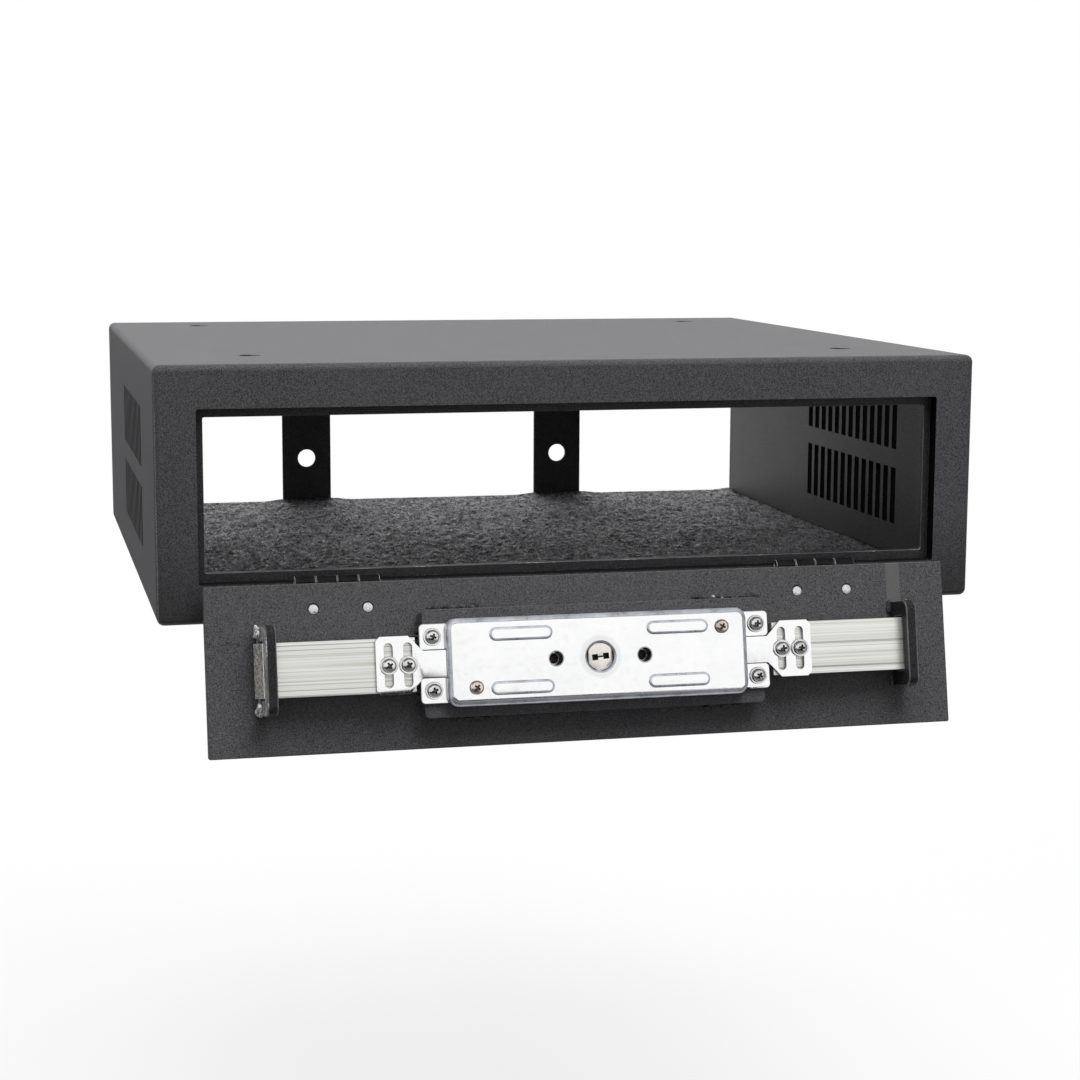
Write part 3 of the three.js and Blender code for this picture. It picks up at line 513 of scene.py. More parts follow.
def ground_weld():
    """Weld ground back to streaks of grey metal under thin paint."""
    finish = Finish("ground weld")
    streak = finish.noise(1, 3, 0.7, finish.stretched(500, 500, 160))
    lump = finish.noise(600, 3, 0.6)
    tone = finish.tint(streak, 0.38, 0.66, grey(0.12), grey(0.75))
    return finish.finished(
        Base_Color=finish.tint(lump, 0.58, 0.68, tone, grey(0.9)),
        Metallic=0.3,
        Roughness=0.5,
        Normal=finish.bump(lump, 0.25 * MM, 0.7),
    )


def painted_weld():
    """Weld metal under paint, with bright spots where it has chipped."""
    finish = Finish("painted weld")
    lump = finish.noise(420, 3, 0.6)
    chip = finish.span(finish.noise(230, 3, 0.6), 0.65, 0.69)
    tone = finish.tint(lump, 0.3, 0.7, grey(0.018), grey(0.06))
    return finish.finished(
        Base_Color=finish.blend(chip, tone, grey(0.62)),
        Metallic=finish.span(chip, 0, 1, 0.0, 0.85),
        Roughness=finish.span(chip, 0, 1, 0.5, 0.32),
        Normal=finish.bump(lump, 0.3 * MM, 0.7),
    )


def clouded(
    name, scale, dark, light, low=0.3, high=0.7, detail=3, harsh=0.6,
    flecks=None, rough=0.5, relief=None, **values
):
    """Two tones in the clouds of one noise, with flecks of a third where a finer noise is strong."""
    finish = Finish(name)
    cloud = finish.noise(scale, detail, harsh)
    tone = finish.tint(cloud, low, high, dark, light)
    if flecks:
        size, least, most, colour = flecks
        tone = finish.tint(finish.noise(size, 2, 0.5), least, most, tone, colour)
    if isinstance(rough, tuple):
        rough = finish.span(cloud, 0.3, 0.7, *rough)
    if relief:
        depth, strength = relief
        values["Normal"] = finish.bump(cloud, depth * MM, strength)
    return finish.finished(Base_Color=tone, Roughness=rough, **values)


COAT_TONES = ((0.020, 0.0195, 0.0208), (0.095, 0.093, 0.099))
COAT = powder_coat("powder coat", *COAT_TONES)
# The top's coat, with painted shade round the keyholes
WRAP_COAT = powder_coat("wrap coat", *COAT_TONES, mark=keyhole_painted_shade)
DOOR_COAT = powder_coat("door coat", *COAT_TONES, mark=lighter_stripe)
# A darker copy of the black coat for the flange: painted shade, as the upright flange gets less light from
# above than the door
FLANGE_SHADED_COAT = powder_coat("flange coat", (0.017, 0.0165, 0.0177), (0.082, 0.080, 0.085), mark=worn_rim_and_painted_shade)
# Darker copies of the black coat: painted shade on the bolt guides and on the door stop frame, which sits
# back in the opening
GUIDE_SHADED_COAT = powder_coat("guide coat", (0.006, 0.0058, 0.0063), (0.032, 0.031, 0.033), 0.42, ior=1.22)
STOP_SHADED_COAT = powder_coat("stop coat", (0.006, 0.0058, 0.0063), (0.034, 0.033, 0.036), 0.42)
WORN = edge_wear_and_highlight()
# On the hinges' knuckle ends the much lighter tone is a painted highlight, with worn chips
HINGE_WEAR_AND_HIGHLIGHT = edge_wear_and_highlight("hinge end wear and highlight", 0.42, grey(0.02), grey(0.34))
FELT = felt("felt", (0.09, 0.086, 0.096), (0.60, 0.575, 0.635), (0.97, 0.95, 1.0))
FIBRE = felt("felt fibre", (0.08, 0.077, 0.085), (0.66, 0.635, 0.69), (0.97, 0.95, 1.0))
ZINC = zinc_plate()
# The cover's zinc, with painted shade in rings round its holes
COVER_ZINC = zinc_plate("cover zinc", painted_ring_shade)
BAR = drawn_bar()
BRIGHT = plated("bright plate", (0.80, 0.80, 0.79), (0.40, 0.38, 0.36), 0.16)
BRASS = plated("brass plate", (0.76, 0.66, 0.57), (0.30, 0.24, 0.20), 0.2)
NICKEL = plated("satin nickel", (1.0, 0.95, 0.88), (0.88, 0.80, 0.72), 0.36)
# Painted shade for the screws' crosses and the feet of their heads
HEAD_SHADE = plated("shaded plate", (0.10, 0.09, 0.085), (0.02, 0.018, 0.016), 0.3)
GROUND = ground_weld()
WELD = painted_weld()

# Where a cut wall lies in its own shade, the coat is nearly black
RECESS = clouded("deep recess", 900, grey(0.003), grey(0.010), rough=(0.9, 0.75), detail=2, IOR=1.03)

# The hinges' smooth black stove enamel
ENAMEL = clouded(
    "hinge enamel", 160, grey(0.004), grey(0.009), rough=(0.3, 0.22), relief=(0.05, 0.3), IOR=1.22
)

# Painted shade on zinc where the sheet is bent: a darker, bluer, duller copy of the plate; and zinc's
# sheared edges
ZINC_BEND_SHADE = clouded(
    "zinc bend",
    120,
    (0.40, 0.42, 0.47),
    (0.70, 0.72, 0.77),
    low=0.35,
    rough=(0.24, 0.4),
    relief=(0.1, 0.3),
    Metallic=0.6,
)
SHEARED = clouded(
    "sheared edge",
    700,
    (0.30, 0.31, 0.34),
    (0.62, 0.63, 0.66),
    rough=0.55,
    relief=(0.05, 0.4),
    Metallic=0.25,
)

# A bolt's outer end: brownish scale, spattered when the guides were welded
SCALED_END = clouded(
    "scaled end",
    700,
    (0.19, 0.185, 0.17),
    (0.62, 0.60, 0.56),
    low=0.35,
    high=0.65,
    harsh=0.7,
    flecks=(1100, 0.57, 0.64, grey(0.04)),
    rough=0.55,
    relief=(0.2, 0.7),
    Metallic=0.3,
)

# Inside the key slot and the screw holes: painted shade, near black with a brown tint
KEYWAY_SHADE = clouded(
    "brown recess shade",
    500,
    (0.012, 0.008, 0.006),
    (0.055, 0.035, 0.025),
    low=0.35,
    rough=(0.6, 0.45),
    Metallic=0.2,
    Specular_IOR_Level=0.3,
)

# Peened rivet ends: bare hammered metal
PEENED = clouded(
    "peened steel",
    800,
    grey(0.62),
    grey(0.93),
    flecks=(1500, 0.64, 0.7, grey(0.10)),
    rough=0.42,
    relief=(0.25, 0.6),
    Metallic=0.75,
)

FINISH_OF = {
    "black_coat": (COAT, WORN),
    "zinc": (ZINC, ZINC_BEND_SHADE),
    "bright_screw": (BRIGHT, BRIGHT),
    "brass_screw": (BRASS, BRASS),
    "nickel": (NICKEL, NICKEL),
}


# Meshes


def show(name, mesh, *materials):
    """A new object of that mesh, at the origin."""
    piece = bpy.data.objects.new(name, mesh)
    bpy.context.scene.collection.objects.link(piece)
    mesh.materials.clear()
    for material in materials:
        mesh.materials.append(material)
    return piece


def mesh_of(build, name):
    mesh = bpy.data.meshes.new(name)
    build.to_mesh(mesh)
    build.free()
    return mesh


def sharpen(build, limit):
    """Smooth faces, with a hard edge wherever two of them meet at more than the limit."""
    for face in build.faces:
        face.smooth = True
    for edge in build.edges:
        if len(edge.link_faces) == 2:
            edge.smooth = edge.calc_face_angle(math.pi) < limit


def place(piece, body, nodes):
    """Sets a finished piece on its body, for those CAD nodes."""
    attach(piece, body)
    if nodes:
        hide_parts(*nodes)
    return piece


def evaluated(piece):
    """A plain mesh of what the piece comes to with its modifiers."""
    bpy.context.view_layer.update()
    graph = bpy.context.evaluated_depsgraph_get()
    return bpy.data.meshes.new_from_object(piece.evaluated_get(graph), depsgraph=graph)


def applied(piece):
    """The piece with its modifiers worked into its mesh."""
    mesh = evaluated(piece)
    piece.modifiers.clear()
    piece.data = mesh
    return piece


def lathe(profile, sides):
    """A closed turned body about Z, from points of radius and height that start and end on the axis."""
    build = bmesh.new()
    rings = []
    for radius, height in profile:
        if radius < 1e-7:
            rings.append([build.verts.new((0, 0, height))])
            continue
        ring = []
        for step in range(sides):
            angle = 2 * math.pi * step / sides
            ring.append(build.verts.new((radius * math.cos(angle), radius * math.sin(angle), height)))
        rings.append(ring)
    for low, high in zip(rings, rings[1:]):
        for step in range(sides):
            after = (step + 1) % sides
            corners = [low[step % len(low)], low[after % len(low)]]
            corners += [high[after % len(high)], high[step % len(high)]]
            distinct = list(dict.fromkeys(corners))
            if len(distinct) > 2:
                build.faces.new(distinct)
    bmesh.ops.recalc_face_normals(build, faces=build.faces)
    return build


def skin(sections, pairs=None):
    """A closed skin over sections of equally many points: end to end, or between the given pairs."""
    build = bmesh.new()
    rings = [[build.verts.new(point) for point in section] for section in sections]
    if pairs is None:
        pairs = [(number, number + 1) for number in range(len(rings) - 1)]
        build.faces.new(rings[0])
        build.faces.new(rings[-1])
    for first, second in pairs:
        low, high = rings[first], rings[second]
        for step in range(len(low)):
            after = (step + 1) % len(low)
            build.faces.new((low[step], low[after], high[after], high[step]))
    bmesh.ops.recalc_face_normals(build, faces=build.faces)
    return build


def rectangle(name, x0, x1, y0, y1, z):
    """The mesh of one flat face that looks up."""
    mesh = bpy.data.meshes.new(name)
    mesh.from_pydata([(x0, y0, z), (x1, y0, z), (x1, y1, z), (x0, y1, z)], [], [(0, 1, 2, 3)])
    return mesh


def arc(cx, cy, radius, start, end, steps):
    """Points along an arc, with both its ends."""
    angles = [start + (end - start) * step / steps for step in range(steps + 1)]
    return [(cx + radius * math.cos(a), cy + radius * math.sin(a)) for a in angles]


def circle(cx, cy, radius, steps):
    return arc(cx, cy, radius, 0, 2 * math.pi, steps)[:-1]


def rounded(x0, x1, y0, y1, radius, steps):
    """Corner points of a rounded rectangle, anticlockwise."""
    centres = [
        (x1 - radius, y0 + radius),
        (x1 - radius, y1 - radius),
        (x0 + radius, y1 - radius),
        (x0 + radius, y0 + radius),
    ]
    points = []
    for corner, (cx, cy) in enumerate(centres):
        points += arc(cx, cy, radius, (corner - 1) * math.pi / 2, corner * math.pi / 2, steps)
    return points


def cut_plate(name, outlines, thickness, matrix, bevel):
    """A flat plate of the first outline with the others cut out, its bevels as material 1."""
    curve = bpy.data.curves.new(name, "CURVE")
    curve.dimensions = "2D"
    curve.fill_mode = "BOTH"
    curve.extrude = thickness / 2 - bevel
    curve.bevel_depth = bevel
    curve.bevel_resolution = 1
    curve.offset = -bevel
    for outline in outlines:
        spline = curve.splines.new("POLY")
        spline.points.add(len(outline) - 1)
        for point, (x, y) in zip(spline.points, outline):
            point.co = (x, y, 0, 1)
        spline.use_cyclic_u = True
    holder = bpy.data.objects.new(name, curve)
    bpy.context.scene.collection.objects.link(holder)
    mesh = evaluated(holder)
    bpy.data.objects.remove(holder)
    build = bmesh.new()
    build.from_mesh(mesh)
    bmesh.ops.remove_doubles(build, verts=build.verts, dist=1e-6)
    bmesh.ops.recalc_face_normals(build, faces=build.faces)
    for face in build.faces:
        face.material_index = 1 if 0.05 < abs(face.normal.z) < 0.99 else 0
    sharpen(build, math.radians(50))
    for edge in build.edges:
        flat = [abs(face.normal.z) > 0.99 for face in edge.link_faces]
        if any(flat) and not all(flat):
            edge.smooth = False
    build.to_mesh(mesh)
    build.free()
    mesh.transform(matrix)
    return mesh


# Geometry Nodes


def new_tree(name, inputs):
    """An empty tree with named inputs, its input node and its output node."""
    tree = bpy.data.node_groups.new(name, "GeometryNodeTree")
    tree.interface.new_socket("Geometry", in_out="INPUT", socket_type="NodeSocketGeometry")
    for label, kind in inputs:
        tree.interface.new_socket(label, in_out="INPUT", socket_type="NodeSocket" + kind)
    tree.interface.new_socket("Geometry", in_out="OUTPUT", socket_type="NodeSocketGeometry")
    return tree, tree.nodes.new("NodeGroupInput"), tree.nodes.new("NodeGroupOutput")


def add(tree, kind, **feeds):
    """A new node with those sockets linked to its inputs, _ for a space in an input's name."""
    node = tree.nodes.new(kind)
    for name, socket in feeds.items():
        tree.links.new(socket, node.inputs[name.replace("_", " ")])
    return node


def finish_tree(tree, given, result, geometry):
    """Ends a tree in Realize Instances and Set Material."""
    real = add(tree, "GeometryNodeRealizeInstances", Geometry=geometry).outputs["Geometry"]
    paint = add(tree, "GeometryNodeSetMaterial", Geometry=real, Material=given.outputs["Material"])
    tree.links.new(paint.outputs["Geometry"], result.inputs["Geometry"])
    return tree


def random_vector(tree, given, what):
    """A vector for each point, between the inputs "Least" and "Most" of that name."""
    node = tree.nodes.new("FunctionNodeRandomValue")
    node.data_type = "FLOAT_VECTOR"
    tree.links.new(given.outputs["Least " + what], node.inputs[0])
    tree.links.new(given.outputs["Most " + what], node.inputs[1])
    tree.links.new(given.outputs["Seed"], node.inputs["Seed"])
    return node.outputs[0]


def as_rotation(tree, angles):
    node = tree.nodes.new("FunctionNodeEulerToRotation")
    tree.links.new(angles, node.inputs[0])
    return node.outputs[0]


def model_of(tree, given):
    return add(tree, "GeometryNodeObjectInfo", Object=given.outputs["Model"]).outputs["Geometry"]


def make_spread_tree(name, scattered):
    """The model on every point, or scattered over the faces, each turned and sized at random."""
    inputs = [("Model", "Object"), ("Seed", "Int"), ("Material", "Material")]
    inputs += [(bound + what, "Vector") for bound in ("Least ", "Most ") for what in ("turn", "size")]
    if scattered:
        inputs.append(("Density", "Float"))
    tree, given, result = new_tree(name, inputs)
    points = given.outputs["Geometry"]
    if scattered:
        seed, density = given.outputs["Seed"], given.outputs["Density"]
        spread = add(
            tree, "GeometryNodeDistributePointsOnFaces", Mesh=points, Density=density, Seed=seed
        )
        points = spread.outputs["Points"]
    placed = add(
        tree,
        "GeometryNodeInstanceOnPoints",
        Points=points,
        Instance=model_of(tree, given),
        Rotation=as_rotation(tree, random_vector(tree, given, "turn")),
        Scale=random_vector(tree, given, "size"),
    )
    return finish_tree(tree, given, result, placed.outputs["Instances"])


def make_perforate_tree():
    """The model on a grid of columns and rows, taken out of the mesh."""
    vectors = [("Centre", "Vector"), ("Turn", "Vector")]
    numbers = [("Columns", "Int"), ("Rows", "Int"), ("Length", "Float"), ("Rise", "Float")]
    inputs = [("Model", "Object"), *numbers, *vectors, ("Material", "Material")]
    tree, given, result = new_tree("perforate", inputs)
    grid = add(
        tree,
        "GeometryNodeMeshGrid",
        Size_X=given.outputs["Length"],
        Size_Y=given.outputs["Rise"],
        Vertices_X=given.outputs["Columns"],
        Vertices_Y=given.outputs["Rows"],
    )
    moved = add(
        tree,
        "GeometryNodeTransform",
        Geometry=grid.outputs["Mesh"],
        Translation=given.outputs["Centre"],
        Rotation=as_rotation(tree, given.outputs["Turn"]),
    )
    cutters = add(
        tree,
        "GeometryNodeInstanceOnPoints",
        Points=moved.outputs["Geometry"],
        Instance=model_of(tree, given),
    )
    loose = add(tree, "GeometryNodeRealizeInstances", Geometry=cutters.outputs["Instances"])
    cut = tree.nodes.new("GeometryNodeMeshBoolean")
    cut.operation = "DIFFERENCE"
    cut.solver = "EXACT"
    tree.links.new(given.outputs["Geometry"], cut.inputs["Mesh 1"])
    tree.links.new(loose.outputs["Geometry"], cut.inputs["Mesh 2"])
    return finish_tree(tree, given, result, cut.outputs["Mesh"])


SET_TREE = make_spread_tree("set on points", False)
SCATTER_TREE = make_spread_tree("scatter on faces", True)
PERFORATE_TREE = make_perforate_tree()


def grown(piece, tree, values):
    """The piece after a tree with those named inputs, as a plain mesh."""
    modifier = piece.modifiers.new(tree.name, "NODES")
    modifier.node_group = tree
    for item in tree.interface.items_tree:
        if item.item_type == "SOCKET" and item.in_out == "INPUT" and item.name in values:
            modifier[item.identifier] = values[item.name]
    return applied(piece)


def template(build, name):
    """A model for the trees, which is removed once it has been used."""
    return show(name, mesh_of(build, name))


def repeated(name, places, model, material, turn, seed, tilt=0.0, size=(1, 1)):
    """The model on each place, as one object at the origin."""
    mesh = bpy.data.meshes.new(name)
    mesh.from_pydata(places, [], [])
    piece = show(name, mesh)
    values = {
        "Model": model,
        "Least turn": (-tilt, -tilt, turn[0]),
        "Most turn": (tilt, tilt, turn[1]),
        "Least size": (size[0],) * 3,
        "Most size": (size[1],) * 3,
        "Seed": seed,
        "Material": material,
    }
    return grown(piece, SET_TREE, values)


def shaded(piece, degrees):
    """The piece smooth, but for edges that turn by more than that."""
    build = bmesh.new()
    build.from_mesh(piece.data)
    sharpen(build, math.radians(degrees))
    build.to_mesh(piece.data)
    build.free()
    return piece


# Carried-over nodes


def outside_corner(edge):
    """True where the two faces of an edge stand out rather than in."""
    return edge.is_convex


def turned_from_face(spot, normal):
    """1 where a lock part's surface is bent or cut, 0 where it lies along the door."""
    return 1 if normal.z < 0.97 else 0


def cover_marks(spot, normal):
    """The cover's bends, and the walls of its holes as material 2: both get painted shade."""
    holes = (-ESCUTCHEON_SCREW_X, 0, ESCUTCHEON_SCREW_X)
    in_hole = min(math.hypot(spot.x - x, spot.y) for x in holes) < HOLE_WALL
    return 2 if in_hole and abs(normal.z) < 0.5 else turned_from_face(spot, normal)


def keyway_marks(spot, normal):
    """The walls and the floor of the key slot as material 2, for its painted shade."""
    inside = math.hypot(spot.x, spot.y) < KEY_SLOT_RADIUS
    return 2 if inside and KEY_SLOT_FLOOR < spot.z < KEY_SLOT_TOP else 0


def end_marks(spot, normal):
    """A bolt bar's outer end as material 2."""
    return 2 if abs(normal.x) > 0.7 and abs(spot.x) > BAR_END else 0


def outward_marks(spot, normal):
    """A guide's outer side as material 2."""
    return 2 if math.copysign(1, spot.x) * normal.x > 0.5 else 0


def opening_marks(spot, normal):
    """The shaded inner walls of the front opening as material 2."""
    across = (FACE.to_3x3() @ normal).y
    where = FACE @ spot
    margin = 10 * MM
    inside = abs(where.x) < BODY_WIDTH / 2 - margin and margin - BODY_HEIGHT < where.z < -margin
    return 2 if inside and abs(across) < 0.3 else 0


def plain(spot, normal):
    return 0


def tighter_hole(spot):
    """The cover's middle hole, drawn in to the size it has in the photo."""
    if math.hypot(spot.x, spot.y) < HOLE_RADIUS:
        spot.x, spot.y = HOLE_SHARE * spot.x, HOLE_SHARE * spot.y
    return spot


def smaller_boss(spot):
    """The boss that shows in the cover's hole, drawn in likewise outside its key slot."""
    radius = math.hypot(spot.x, spot.y)
    if spot.z > COVER_TOP - BOSS_DEPTH and BOSS_INSIDE < radius < BOSS_OUTSIDE:
        spot.x, spot.y = BOSS_SHARE * spot.x, BOSS_SHARE * spot.y
    return spot


def knuckle_end(edge):
    """The edges round a hinge's ends, across its pin."""
    along = edge.verts[1].co - edge.verts[0].co
    return edge.is_convex and abs(along.x) < 0.3 * along.length


def flange_rim(edge):
    """The outer edges of the flange's front face."""
    front, margin = -BODY_DEPTH / 2 + 3 * MM, 6 * MM
    side, top, bottom = BODY_WIDTH / 2 - margin, -margin, margin - BODY_HEIGHT
    return edge.is_convex and all(
        v.co.y < front and (abs(v.co.x) > side or v.co.z > top or v.co.z < bottom)
        for v in edge.verts
    )


def merged(mesh, shape):
    """The mesh without doubled points or needless edges, its points moved by the shape function."""
    build = bmesh.new()
    build.from_mesh(mesh)
    bmesh.ops.remove_doubles(build, verts=build.verts, dist=2e-6)
    bmesh.ops.dissolve_limit(
        build, angle_limit=math.radians(0.6), verts=build.verts, edges=build.edges
    )
    for vertex in build.verts if shape else ():
        vertex.co = FACE @ shape(TO_FACE @ vertex.co)
    return build


def weigh_edges(build, chosen):
    """Sharp edges all over, but for a bevel weight on the chosen ones."""
    weight = build.edges.layers.float.new("bevel_weight_edge")
    for edge in build.edges:
        if len(edge.link_faces) == 2 and edge.calc_face_angle(0) > SHARP and chosen(edge):
            edge[weight] = 1.0
    sharpen(build, SHARP)
    for edge in build.edges:
        if edge[weight] > 0:
            edge.smooth = True


def dress(node, radius=0.3, segments=2, chosen=outside_corner, looks=None, marks=plain, shape=None):
    """A merged copy of a CAD node with its chosen edges rounded by a radius in millimetres."""
    name = node + "_skin"
    mesh = frame["nodes"][node].data.copy()
    mesh.name = name
    slot = SLOT_OF[node]
    piece = show(name, mesh, *(looks or FINISH_OF[slot]))
    build = merged(mesh, shape)
    turn = TO_FACE.to_3x3()
    for face in build.faces:
        face.material_index = marks(TO_FACE @ face.calc_center_median(), turn @ face.normal)
    weigh_edges(build, chosen)
    build.to_mesh(mesh)
    build.free()
    if radius > 0:
        bevel = piece.modifiers.new("rounded edges", "BEVEL")
        bevel.limit_method = "WEIGHT"
        bevel.width = radius * MM
        bevel.segments = segments
        bevel.use_clamp_overlap = False
        bevel.miter_outer = "MITER_ARC"
        bevel.material = 1
        bevel.harden_normals = False
    normals = piece.modifiers.new("flat faces stay flat", "WEIGHTED_NORMAL")
    normals.keep_sharp = True
    normals.weight = 80
    return place(piece, BODY_OF[node], [node])


# Box


def wrap():
    """The bent sheet of top, sides and bottom, with its vent slots and keyholes."""
    half = BODY_WIDTH / 2
    outer = rounded(-half, half, -BODY_HEIGHT, 0, EDGE_RADIUS, 6)
    inner = rounded(SHEET - half, half - SHEET, SHEET - BODY_HEIGHT, -SHEET, EDGE_RADIUS - SHEET, 6)
    ends = (-BODY_DEPTH / 2 + FRAME_FOLD, BODY_DEPTH / 2 - SHEET)
    sections = [[(x, y, z) for x, z in outline] for outline in (outer, inner) for y in ends]
    build = skin(sections, ((0, 1), (1, 3), (3, 2), (2, 0)))
    piece = show("box_wrap", mesh_of(build, "box_wrap"), WRAP_COAT)

    run = (SLOT_COLUMNS - 1) * SLOT_PITCH
    middle = -BODY_DEPTH / 2 + SLOT_FIRST + run / 2
    level = -BODY_HEIGHT + SLOT_BOTTOM + (SLOT_LENGTH + SLOT_RISE) / 2
    upright = (math.pi / 2, 0, math.pi / 2)
    perforate(piece, vent_cutter(), SLOT_COLUMNS, SLOT_ROWS, run, SLOT_RISE, (0, middle, level), upright)
    run = KEYHOLE_REAR - KEYHOLE_FRONT
    middle = -BODY_DEPTH / 2 + (KEYHOLE_REAR + KEYHOLE_FRONT) / 2
    perforate(piece, keyhole(), 2, 2, 2 * KEYHOLE_X, run, (0, middle, 0), (0, 0, 0))
    shaded(piece, 30)
    piece.data.materials.append(RECESS)
    for face in piece.data.polygons:
        if in_a_cut(face.center, face.normal):
            face.material_index = 1
    place(piece, "box", ["body_shell"])


def perforate(piece, build, columns, rows, length, rise, centre, turn):
    """Takes the built shape out of the piece on a grid."""
    model = template(build, "cutter")
    values = {
        "Model": model,
        "Columns": columns,
        "Rows": rows,
        "Length": length,
        "Rise": rise,
        "Centre": centre,
        "Turn": turn,
        "Material": WRAP_COAT,
    }
    grown(piece, PERFORATE_TREE, values)
    bpy.data.objects.remove(model)


def vent_cutter():
    """A bar across the whole box, narrower where it leaves each wall on the outside."""
    half = BODY_WIDTH / 2
    widths = {
        -1.1 * half: SLOT_WIDTH_OUTSIDE,
        -half: SLOT_WIDTH_OUTSIDE,
        SHEET - half: SLOT_WIDTH,
        half - SHEET: SLOT_WIDTH,
        half: SLOT_WIDTH_OUTSIDE,
        1.1 * half: SLOT_WIDTH_OUTSIDE,
    }
    sections = []
    for x, width in widths.items():
        y, z = width / 2, SLOT_LENGTH / 2
        sections.append([(x, -y, -z), (x, y, -z), (x, y, z), (x, -y, z)])
    return skin(sections)


def in_a_cut(centre, normal):
    """True for the walls of the vent slots and the keyholes, which lie well away from the ends."""
    low = SLOT_BOTTOM - BODY_HEIGHT - MM
    high = low + SLOT_LENGTH + SLOT_RISE + 2 * MM
    to_end = BODY_DEPTH / 2 - abs(centre.y)
    beside = abs(centre.x) > BODY_WIDTH / 2 - SHEET - 0.1 * MM
    if beside and low < centre.z < high and abs(normal.x) < 0.7:
        return to_end > 50 * MM
    near_keyhole = abs(abs(centre.x) - KEYHOLE_X - 2 * MM) < 8 * MM and to_end > 20 * MM
    return near_keyhole and abs(normal.z) < 0.3 and -SHEET < centre.z < -0.1 * MM


def keyhole():
    """A cutter of the keyhole's outline: a round entry and a narrow tail towards +X."""
    lean = math.asin(KEYHOLE_TAIL_RADIUS / KEYHOLE_RADIUS)
    points = arc(0, 0, KEYHOLE_RADIUS, lean, 2 * math.pi - lean, 20)
    points += arc(KEYHOLE_TAIL, 0, KEYHOLE_TAIL_RADIUS, -math.pi / 2, math.pi / 2, 8)
    return skin([[(x, y, z) for x, y in points] for z in (-2 * SHEET, SHEET)])


def rear():
    """The rear panel with its rounded windows and the screw holes in its straps."""
    half = BODY_WIDTH / 2
    outlines = [rounded(-half, half, -BODY_HEIGHT, 0, EDGE_RADIUS, 6)]
    edges = [SHEET - half]
    for centre in (-STRAP_X, STRAP_X):
        edges += [centre - STRAP_WIDTH / 2, centre + STRAP_WIDTH / 2]
    edges.append(half - SHEET)
    low = REAR_RAIL - BODY_HEIGHT
    for start, end in zip(edges[::2], edges[1::2]):
        outlines.append(rounded(start, end, low, -REAR_RAIL, WINDOW_RADIUS, 8))
    for centre in (-STRAP_X, STRAP_X):
        outlines.append(circle(centre, STRAP_HOLE_HEIGHT - BODY_HEIGHT, STRAP_HOLE, 40))
    upright = Matrix.Translation((0, BODY_DEPTH / 2 - SHEET / 2, 0)) @ Matrix.Rotation(
        math.pi / 2, 4, "X"
    )
    mesh = cut_plate("rear_straps", outlines, SHEET, upright, 0.3 * MM)
    place(show("rear_straps", mesh, COAT, COAT), "box", ["rear_panel"])


def door():
    """The door's plate with the holes for the hinges' rivets, the key cylinder and its screws."""
    outlines = [rounded(-DOOR_X, DOOR_X, -DOOR_Y, DOOR_Y, DOOR_CORNER, 3)]
    outlines.append(circle(0, 0, CYLINDER_HOLE, 48))
    for side in (-1, 1):
        outlines.append(circle(side * ESCUTCHEON_SCREW_X, 0, ESCUTCHEON_HOLE, 24))
        for offset in (-1, 1):
            x = side * HINGE_X + offset * RIVET_X
            outlines.append(circle(x, RIVET_FACE_Y, RIVET_HOLE, 28))
    middle = FACE @ Matrix.Translation((0, 0, -DOOR_THICKNESS / 2))
    mesh = cut_plate("door_plate", outlines, DOOR_THICKNESS, middle, DOOR_EDGE)
    place(show("door_plate", mesh, DOOR_COAT, WORN), "door", ["door_panel"])


# Carpet: a slab of felt whose top rolls a little, and the fibres that lie on it


def carpet():
    low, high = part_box("carpet_liner")
    build = bmesh.new()
    felt_top(build, low, high)
    upper = list(build.faces)
    rim = [e for e in build.edges if len(e.link_faces) == 1]
    walls = bmesh.ops.extrude_edge_only(build, edges=rim)
    for part in walls["geom"]:
        if isinstance(part, bmesh.types.BMVert):
            part.co.z = low.z
    edges = [e for e in build.edges if len(e.link_faces) == 1]
    bmesh.ops.contextual_create(build, geom=edges)
    bmesh.ops.recalc_face_normals(build, faces=build.faces)
    for face in upper:
        face.smooth = True
    slab = show("carpet_felt", mesh_of(build, "carpet_felt"), FELT)
    fibres = carpet_fibres(low, high)
    place(slab, "box", ["carpet_liner"])
    place(fibres, "box", [])


def felt_top(build, low, high):
    """The felt's upper face: a grid of points, each somewhat out of place and out of level."""
    dice = random.Random(5)
    columns = round((high.x - low.x) / CARPET_STEP)
    rows = round((high.y - low.y) / CARPET_STEP)
    top = []
    for row in range(rows + 1):
        line = []
        for column in range(columns + 1):
            x = low.x + (high.x - low.x) * column / columns
            y = low.y + (high.y - low.y) * row / rows
            edge = min(column, row, columns - column, rows - row)
            drop = 0.3 * MM if edge == 0 else 0.0
            wave = CARPET_WAVE * (math.sin(41 * x + 3) * math.sin(37 * y) - 1)
            rough = CARPET_PROUD - CARPET_TUFT * dice.random() ** 0.7
            if edge > 0:
                x += dice.uniform(-0.4, 0.4) * CARPET_STEP
                y += dice.uniform(-0.4, 0.4) * CARPET_STEP
            if row == rows:
                rough, drop = CARPET_PROUD, 0.0
            height = high.z + wave + rough - drop + strap_rise(x, high.y - y)
            line.append(build.verts.new((x, y, height)))
        top.append(line)
    for near, far in zip(top, top[1:]):
        for column in range(columns):
            build.faces.new((near[column], near[column + 1], far[column + 1], far[column]))


def strap_rise(x, away):
    """How far the felt's rear end is pushed up at the straps and in the corners."""
    beside = max(0, abs(abs(x) - STRAP_X) - STRAP_WIDTH / 2)
    beside = min(beside, BODY_WIDTH / 2 - SHEET - abs(x))
    share = max(0, 1 - away / RISE_LENGTH)
    return RISE * share * math.exp(-((beside / RISE_WIDTH) ** 2))


